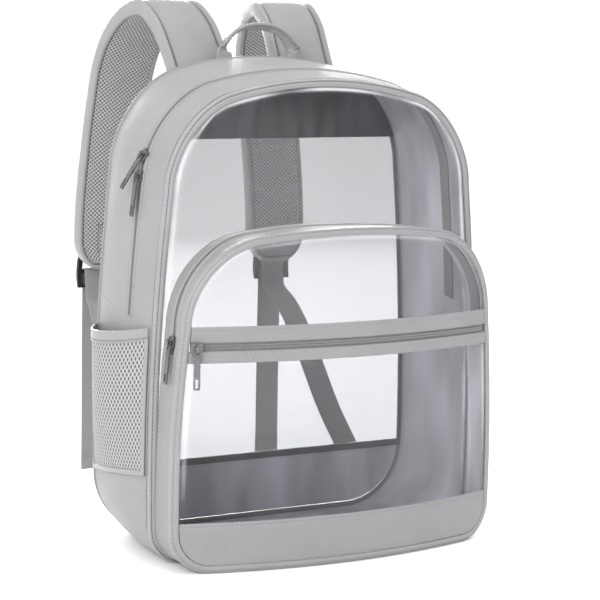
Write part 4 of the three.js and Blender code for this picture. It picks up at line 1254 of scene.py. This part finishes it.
def strap_rows(run, half_width, deep):
    """The rows beside both edges, on the face and the net, and the crossed box near the buckle."""
    group = stitch_rows["strap_stitches"]
    shares = np.linspace(0.01, 0.985, 260)
    high = deep + strap["edge_proud"] - 0.25
    low = -deep - clearance - strap["mesh"] - 0.2
    for sign in (-1, 1):
        w = sign * (half_width(shares) - strap["edge"] + 2.0)
        row_on(group, lambda s, v: run.point(s, v, high), shares, w, 0.0)
        row_on(group, lambda s, v: run.point(s, v, low), shares, w, 0.0, flip=True)
    far = run.length
    bottom = -deep - clearance - strap["mesh"] - 1.35
    rear = lambda s, v: run.point(s, v, bottom)
    box_low, box_high, half = 1 - 17 / far, 1 - 43 / far, 11.0
    corners = [(box_low, -half), (box_high, -half), (box_high, half), (box_low, half), (box_low, -half)]
    corners += [(box_high, half), (box_high, -half), (box_low, half)]
    for (s0, w0), (s1, w1) in zip(corners, corners[1:]):
        row_on(group, rear, np.linspace(s0, s1, 12), np.linspace(w0, w1, 12), 0.0, flip=True)


def band_body(name, path, acrosses, width, thickness, material, power=5.0, count=20):
    """A flat band along points, with soft edges, and its directions across and out of its face."""
    path = np.asarray(path, float)
    before = np.concatenate([path[:1], path[:-1]])
    after = np.concatenate([path[1:], path[-1:]])
    along = unit(after - before)
    across = unit(np.asarray(acrosses, float) - along * (np.asarray(acrosses) * along).sum(axis=1, keepdims=True))
    out = np.cross(across, along)
    a, b = superloop(count, power)
    w = np.broadcast_to(np.asarray(width, float), (len(path),))[:, None] / 2
    t = np.broadcast_to(np.asarray(thickness, float), (len(path),))[:, None] / 2
    rings = path[:, None] + across[:, None] * (w * a[None, :])[..., None] + out[:, None] * (t * b[None, :])[..., None]
    return loft(name, rings, material), across, out


def buckle_bars(sign):
    run = strap_run(sign)
    end = run.line[-1]
    rear = end[1] + strap["thickness"] / 2 + strap["edge_proud"]
    top_y = rear + 2 * clearance + webbing["thickness"] + buckle["bar"]
    pitch = (buckle["height"] - 2 * buckle["bar"]) / 2
    top_z = end[2] + buckle["overlap"]

    def at(bow, down):
        return np.array([end[0] + sign * buckle["outward"], top_y + bow * buckle["bowing"], top_z - down * pitch])

    return at(0, 0), at(1, 1), at(0.4, 2), pitch


def lower_parts():
    for side, sign in (("left", -1), ("right", 1)):
        top, middle, bottom, pitch = buckle_bars(sign)
        gap = webbing["thickness"] + clearance
        angles = np.linspace(math.pi, 2 * math.pi, 14)
        loop = [top + (0, turn_radius * math.cos(a), turn_radius * math.sin(a)) for a in angles]
        path = [top + (0, -turn_radius, webbing["hem"]), top + (0, -turn_radius, webbing["hem"] / 2)] + loop
        path += [
            top + (0, turn_radius, turn_radius), top + (0, gap - turn_radius, turn_radius * 4),
            top + (0, gap - turn_radius, webbing["hem"]),
        ]
        piece = band_body(
            f"strap_end_band_{side}", path, [sideways] * len(path), webbing["width"], webbing["thickness"], grey_web,
        )[0]
        finished(piece, "grey_webbing", f"strap_end_web_{side}")

        base = np.array([sign * (back_edge.half_bottom - anchor["width"]), back_face, anchor["rise"]])
        aim = bottom + (0, -turn_radius, -pitch) - base
        aim = unit(aim)
        across = unit(sideways - aim * aim[0])
        normal = np.cross(across, aim)
        thick = 2 * anchor["thickness"]
        base[1] += clearance + anchor["width"] / 2 * abs(across[1]) + thick / 2 * abs(normal[1])
        shares = np.linspace(0, 1, 24)
        tab = [base + aim * s * anchor["height"] for s in shares]
        narrow = webbing["width"] + anchor["thickness"]
        widths = np.interp(shares, [0, 0.5, 1], [anchor["width"], anchor["width"], narrow])
        piece = band_body(f"corner_tab_{side}", tab, [across] * len(tab), widths, thick, grey, power=6, count=32)[0]
        finished(piece, "grey_leather", f"anchor_{side}")
        tab_rows(base, aim, across, normal, thick)
        lower_web(side, base, aim, middle, bottom, pitch)


def tab_rows(base, aim, across, normal, thick):
    """A crossed box of stitches on both faces of a corner tab."""
    group = stitch_rows["strap_stitches"]
    low, high, half = 3, anchor["height"] - 3, webbing["width"] / 2 - 1.5
    corners = [(low, -half), (high, -half), (high, half), (low, half), (low, -half)]
    corners += [(high, half), (low, half), (high, -half)]
    for face in (1, -1):
        for (a0, b0), (a1, b1) in zip(corners, corners[1:]):
            along, wide = np.linspace(a0, a1, 9), np.linspace(b0, b1, 9)
            point = base + aim * along[:, None] + across * wide[:, None] + normal * face * (thick / 2 + 0.05)
            group.append((point, np.repeat((normal * face)[None], 9, axis=0)))


def lower_web(side, base, aim, middle, bottom, pitch):
    """The webbing from the corner tab up and over the buckle's middle bar, and its hanging tail with a folded hem."""
    start = base + aim * (anchor["height"] + clearance)
    low = bottom + (0, -turn_radius, 0)
    route = [start, start + aim * anchor["height"], low - aim * 2 * pitch, low + (0, -0.6, -pitch / 2), low]
    run = list(Run(smooth_line(route, power=0.5)).at(np.linspace(0, 1, 70)))
    angles = np.linspace(math.pi, 0, 18)
    turn = [middle + (0, turn_radius * math.cos(a), turn_radius * math.sin(a)) for a in angles]
    last = turn[-1]
    hem_top = webbing["tail_end"] + webbing["hem"]
    falls = np.linspace(last[2], webbing["tail_end"], 80)[1:]
    tail = []
    for z in falls:
        free = (last[2] - z) / (last[2] - webbing["tail_end"])
        tail.append(np.array([last[0], last[1] + 0.5 * math.sin(5 * free) * free, z]))
    path = run + turn + tail
    thickness = np.full(len(path), webbing["thickness"])
    for i, p in enumerate(path):
        if i > len(run) + 20 and p[2] < hem_top:
            thickness[i] = 2 * webbing["thickness"] + hem_fold
    piece = band_body(
        f"lower_web_{side}", path, [sideways] * len(path), webbing["width"], thickness, grey_web, power=6,
    )[0]
    finished(piece, "grey_webbing", f"webbing_{side}")
    group = stitch_rows["strap_stitches"]
    for height in (hem_top - 2.5, hem_top - 5.5):
        for face in (-1, 1):
            xs = np.linspace(-webbing["width"] / 2 + 2, webbing["width"] / 2 - 2, 10)
            y = last[1] + face * (webbing["thickness"] + hem_fold) + 0.5 * math.sin(4.6) * 0.92
            point = stack(last[0] + xs, y + 0 * xs, height + 0 * xs)
            group.append((point, np.repeat([[0.0, face, 0.0]], 10, axis=0)))


def top_handle():
    half = handle["span"] / 2
    foot = float(back_edge.at(5 - half / (back_edge.half_top - back_edge.shoulder))[1])
    y = back_plane + 2 * clearance + back_binding_depth + handle["thickness"] / 2
    lean = math.radians(handle["lean"])
    rows = [(r, -1) for r in handle_route] + [(r, 1) for r in handle_route[::-1]]
    path = [
        (sign * side * half, y + back * handle["width"] / 2, foot + up * handle["rise"])
        for (side, up, back, turn), sign in rows
    ]
    across = []
    for (side, up, back, turn), sign in rows:
        a = math.radians(turn)
        across.append((-sign * math.cos(a), math.sin(a) * math.cos(lean), math.sin(a) * math.sin(lean)))
    both = smooth_line(np.concatenate([path, np.array(across) * 20], axis=1), per_segment=10)
    piece, side, out = band_body(
        "carry_handle", both[:, :3], both[:, 3:], handle["width"], handle["thickness"] + 1.0, grey_trim, power=3.2,
        count=28,
    )
    finished(piece, "grey_leather", "top_handle")
    group = stitch_rows["strap_stitches"]
    for w in (-1, 1):
        for face in (-1, 1):
            edge = both[:, :3] + side * w * (handle["width"] / 2 - 2.4) + out * face * (handle["thickness"] / 2 + 0.42)
            group.append((edge[24:-24], out[24:-24] * face))


# Repeats along paths


class Steps:
    """A geometry node tree under construction."""

    def __init__(self, name):
        self.tree = bpy.data.node_groups.new(name, "GeometryNodeTree")
        self.tree.interface.new_socket("Geometry", in_out="INPUT", socket_type="NodeSocketGeometry")
        self.tree.interface.new_socket("Geometry", in_out="OUTPUT", socket_type="NodeSocketGeometry")
        self.start = self.tree.nodes.new("NodeGroupInput")
        self.end = self.tree.nodes.new("NodeGroupOutput")

    def size(self, name, value, kind="NodeSocketFloat"):
        socket = self.tree.interface.new_socket(name, in_out="INPUT", socket_type=kind)
        socket.default_value = value
        return self.start.outputs[name], socket.identifier

    def add(self, kind, settings=None, inputs=None):
        node = self.tree.nodes.new(kind)
        for name, value in (settings or {}).items():
            setattr(node, name, value)
        for name, value in (inputs or {}).items():
            if isinstance(value, bpy.types.NodeSocket):
                self.tree.links.new(value, node.inputs[name])
            else:
                node.inputs[name].default_value = value
        return node.outputs


def repeat_tree(name, pitch, length, width, height, material, segments, rings):
    """Small rounded bodies at even steps along each line, turned to its direction and out of its surface."""
    g = Steps(name)
    step, step_id = g.size("Step", pitch)
    sizes = [g.size("Length", length)[0], g.size("Width", width)[0], g.size("Height", height)[0]]
    line = g.add("GeometryNodeMeshToCurve", None, {"Mesh": g.start.outputs["Geometry"]})["Curve"]
    even = g.add("GeometryNodeResampleCurve", {"mode": "LENGTH"}, {"Curve": line, "Length": step})["Curve"]
    ball = g.add("GeometryNodeMeshUVSphere", None, {"Segments": segments, "Rings": rings, "Radius": 0.5})["Mesh"]
    scale = g.add("ShaderNodeCombineXYZ", None, {"X": sizes[0], "Y": sizes[1], "Z": sizes[2]})["Vector"]
    bead = g.add("GeometryNodeTransform", None, {"Geometry": ball, "Scale": scale})["Geometry"]
    tangent = g.add("GeometryNodeInputTangent")["Tangent"]
    out = g.add("GeometryNodeInputNamedAttribute", {"data_type": "FLOAT_VECTOR"}, {"Name": "out"})["Attribute"]
    turned = g.add("FunctionNodeAlignRotationToVector", {"axis": "X"}, {"Vector": tangent})["Rotation"]
    settings = {"axis": "Z", "pivot_axis": "X"}
    turned = g.add("FunctionNodeAlignRotationToVector", settings, {"Rotation": turned, "Vector": out})["Rotation"]
    inputs = {"Points": even, "Instance": bead, "Rotation": turned}
    beads = g.add("GeometryNodeInstanceOnPoints", None, inputs)["Instances"]
    real = g.add("GeometryNodeRealizeInstances", None, {"Geometry": beads})["Geometry"]
    smooth = g.add("GeometryNodeSetShadeSmooth", None, {"Geometry": real})["Geometry"]
    done = g.add("GeometryNodeSetMaterial", None, {"Geometry": smooth, "Material": material})["Geometry"]
    g.tree.links.new(done, g.end.inputs["Geometry"])
    return g.tree, step_id


def line_object(name, lines):
    """Lines of points in mm as edges, each point with its direction out of the surface."""
    points, edges, outs = [], [], []
    for line, out in lines:
        first = len(points)
        points += [tuple(p) for p in np.asarray(line) * MM]
        outs += [tuple(o) for o in out]
        edges += [(i, i + 1) for i in range(first, len(points) - 1)]
    mesh = bpy.data.meshes.new(name)
    mesh.from_pydata(points, edges, [])
    attribute = mesh.attributes.new("out", "FLOAT_VECTOR", "POINT")
    attribute.data.foreach_set("vector", np.array(outs, dtype=np.float32).ravel())
    return placed(name, mesh)


def repeated(name, lines, tree, step_id, pitch, slot):
    base = line_object(name + "_lines", lines)
    modifier = base.modifiers.new("steps", "NODES")
    modifier.node_group = tree
    modifier[step_id] = pitch
    mesh = bpy.data.meshes.new_from_object(evaluated(base))
    piece = placed(name, mesh)
    bpy.data.objects.remove(base)
    for extra in [a.name for a in mesh.attributes if a.name == "out"]:
        mesh.attributes.remove(mesh.attributes[extra])
    return finished(piece, slot)


def sewing():
    """Stitches and zip teeth, sizes in metres: step, length, width, height."""
    light, light_step = repeat_tree("light_stitches", 0.0038, 0.0028, 0.0009, 0.0007, grey_thread, 6, 4)
    # The dark thread paints the shade along the sewn lines.
    dark, dark_step = repeat_tree("shaded_seam_stitches", 0.0036, 0.0025, 0.0009, 0.0007, shaded_seam_thread, 6, 4)
    for name, lines in stitch_rows.items():
        tree, step = (light, light_step) if name == "pocket_stitches" else (dark, dark_step)
        repeated(name, lines, tree, step, 0.0037, "grey_leather")
    tree, step = repeat_tree("zip_teeth", 0.00125, 0.00085, 0.0021, 0.0012, coil_nylon, 6, 4)
    repeated("zip_teeth", zip_rows, tree, step, 0.00125, "zip_tape")


# Hard parts keep the solids' shape, with their edges eased


def eased(node, name, material, slot, body, width, segments=2):
    """A copy of a solid with its coplanar faces joined and its edges eased by a width in mm."""
    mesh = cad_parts[node].data.copy()
    work = bmesh.new()
    work.from_mesh(mesh)
    bmesh.ops.remove_doubles(work, verts=work.verts, dist=2e-6)
    bmesh.ops.dissolve_limit(work, angle_limit=math.radians(1.5), verts=work.verts, edges=work.edges)
    work.to_mesh(mesh)
    work.free()
    mesh.name = name
    mesh.materials.clear()
    mesh.materials.append(material)
    piece = placed(name, mesh)
    bevel = piece.modifiers.new("ease", "BEVEL")
    bevel.width = width * MM
    bevel.segments = segments
    bevel.limit_method = "ANGLE"
    bevel.angle_limit = math.radians(28)
    baked = bpy.data.meshes.new_from_object(evaluated(piece))
    piece.modifiers.clear()
    piece.data = baked
    smoothed(baked, 32)
    finished(piece, slot, node, body=body)


def hard_parts():
    for side in ("left", "right"):
        eased(f"buckle_{side}", f"ladder_buckle_{side}", black_plastic, "black_plastic", "bag", 0.55, 3)
    for place in ("main_upper", "main_lower", "pocket", "band"):
        eased(f"slider_{place}", f"zip_slider_{place}", gunmetal, "gunmetal", "bag", 0.35)
        eased(f"pull_{place}", f"zip_pull_{place}", gunmetal, "gunmetal", f"{place}_pull", 0.28)


# Camera, floor and lights


def camera():
    """The view that was fitted to the photo: 30 degrees to the left of the front, 7.8 degrees down."""
    focal_pixels, picture_pixels = 2116.9, 600
    right = Vector((0.86725347, -0.49743667, 0.02069266))
    up = Vector((0.04974126, 0.12792603, 0.99053558))
    ahead = Vector((0.49537585, 0.85801614, -0.13568742))
    turn = Matrix((right, up, -ahead)).transposed().to_4x4()
    lens = bpy.data.cameras.new("camera")
    lens.sensor_width = 36.0
    lens.lens = lens.sensor_width * focal_pixels / picture_pixels
    lens.clip_end = 20
    eye = placed("camera", lens)
    eye.matrix_world = Matrix.Translation((-0.925206, -1.623179, 0.467422)) @ turn
    bpy.context.scene.camera = eye


def area_light(name, place, target, size, power, spread=180.0):
    light = bpy.data.lights.new(name, "AREA")
    light.shape = "RECTANGLE"
    light.size, light.size_y = size
    light.energy = power
    light.spread = np.radians(spread)
    lamp = placed(name, light)
    lamp.location = place
    lamp.rotation_euler = (Vector(target) - Vector(place)).to_track_quat("-Z", "Y").to_euler()


def studio():
    mesh = bpy.data.meshes.new("floor")
    far = 9
    mesh.from_pydata([(-far, -far, 0), (far, -far, 0), (far, far, 0), (-far, far, 0)], [], [(0, 1, 2, 3)])
    floor = placed("floor", mesh)
    f = Finish("pale_floor")
    speck = f.noise(f.place(), 3.0, 2.0)
    f.set(Base_Color=f.mixed(speck, shade(0.93), shade(0.96)))
    f.set(Roughness=(speck * 0.1 + 0.8).clamped())
    mesh.materials.append(f.material)
    world = bpy.data.worlds.new("studio")
    bpy.context.scene.world = world
    world.use_nodes = True
    sky = world.node_tree.nodes["Background"].inputs
    sky["Color"].default_value = (1, 1, 1, 1)
    sky["Strength"].default_value = 1.12
    area_light("key_left", (-2.1, -1.35, 1.35), (0, 0, 0.2), (1.5, 1.8), 46)
    area_light("top", (0.1, -0.3, 2.4), (0, 0, 0.2), (2.2, 1.6), 15)
    area_light("rear", (0.8, 2.4, 0.62), (0, 0, 0.22), (1.6, 1.0), 13, spread=60.0)
    area_light("front_fill", (1.4, -2.4, 1.0), (0, 0, 0.2), (1.6, 1.6), 2)
    bpy.context.scene.view_settings.view_transform = "Standard"


camera()
main_body()
back_panel()
front_pocket()
side_pockets()
straps()
lower_parts()
top_handle()
hard_parts()
sewing()
studio()
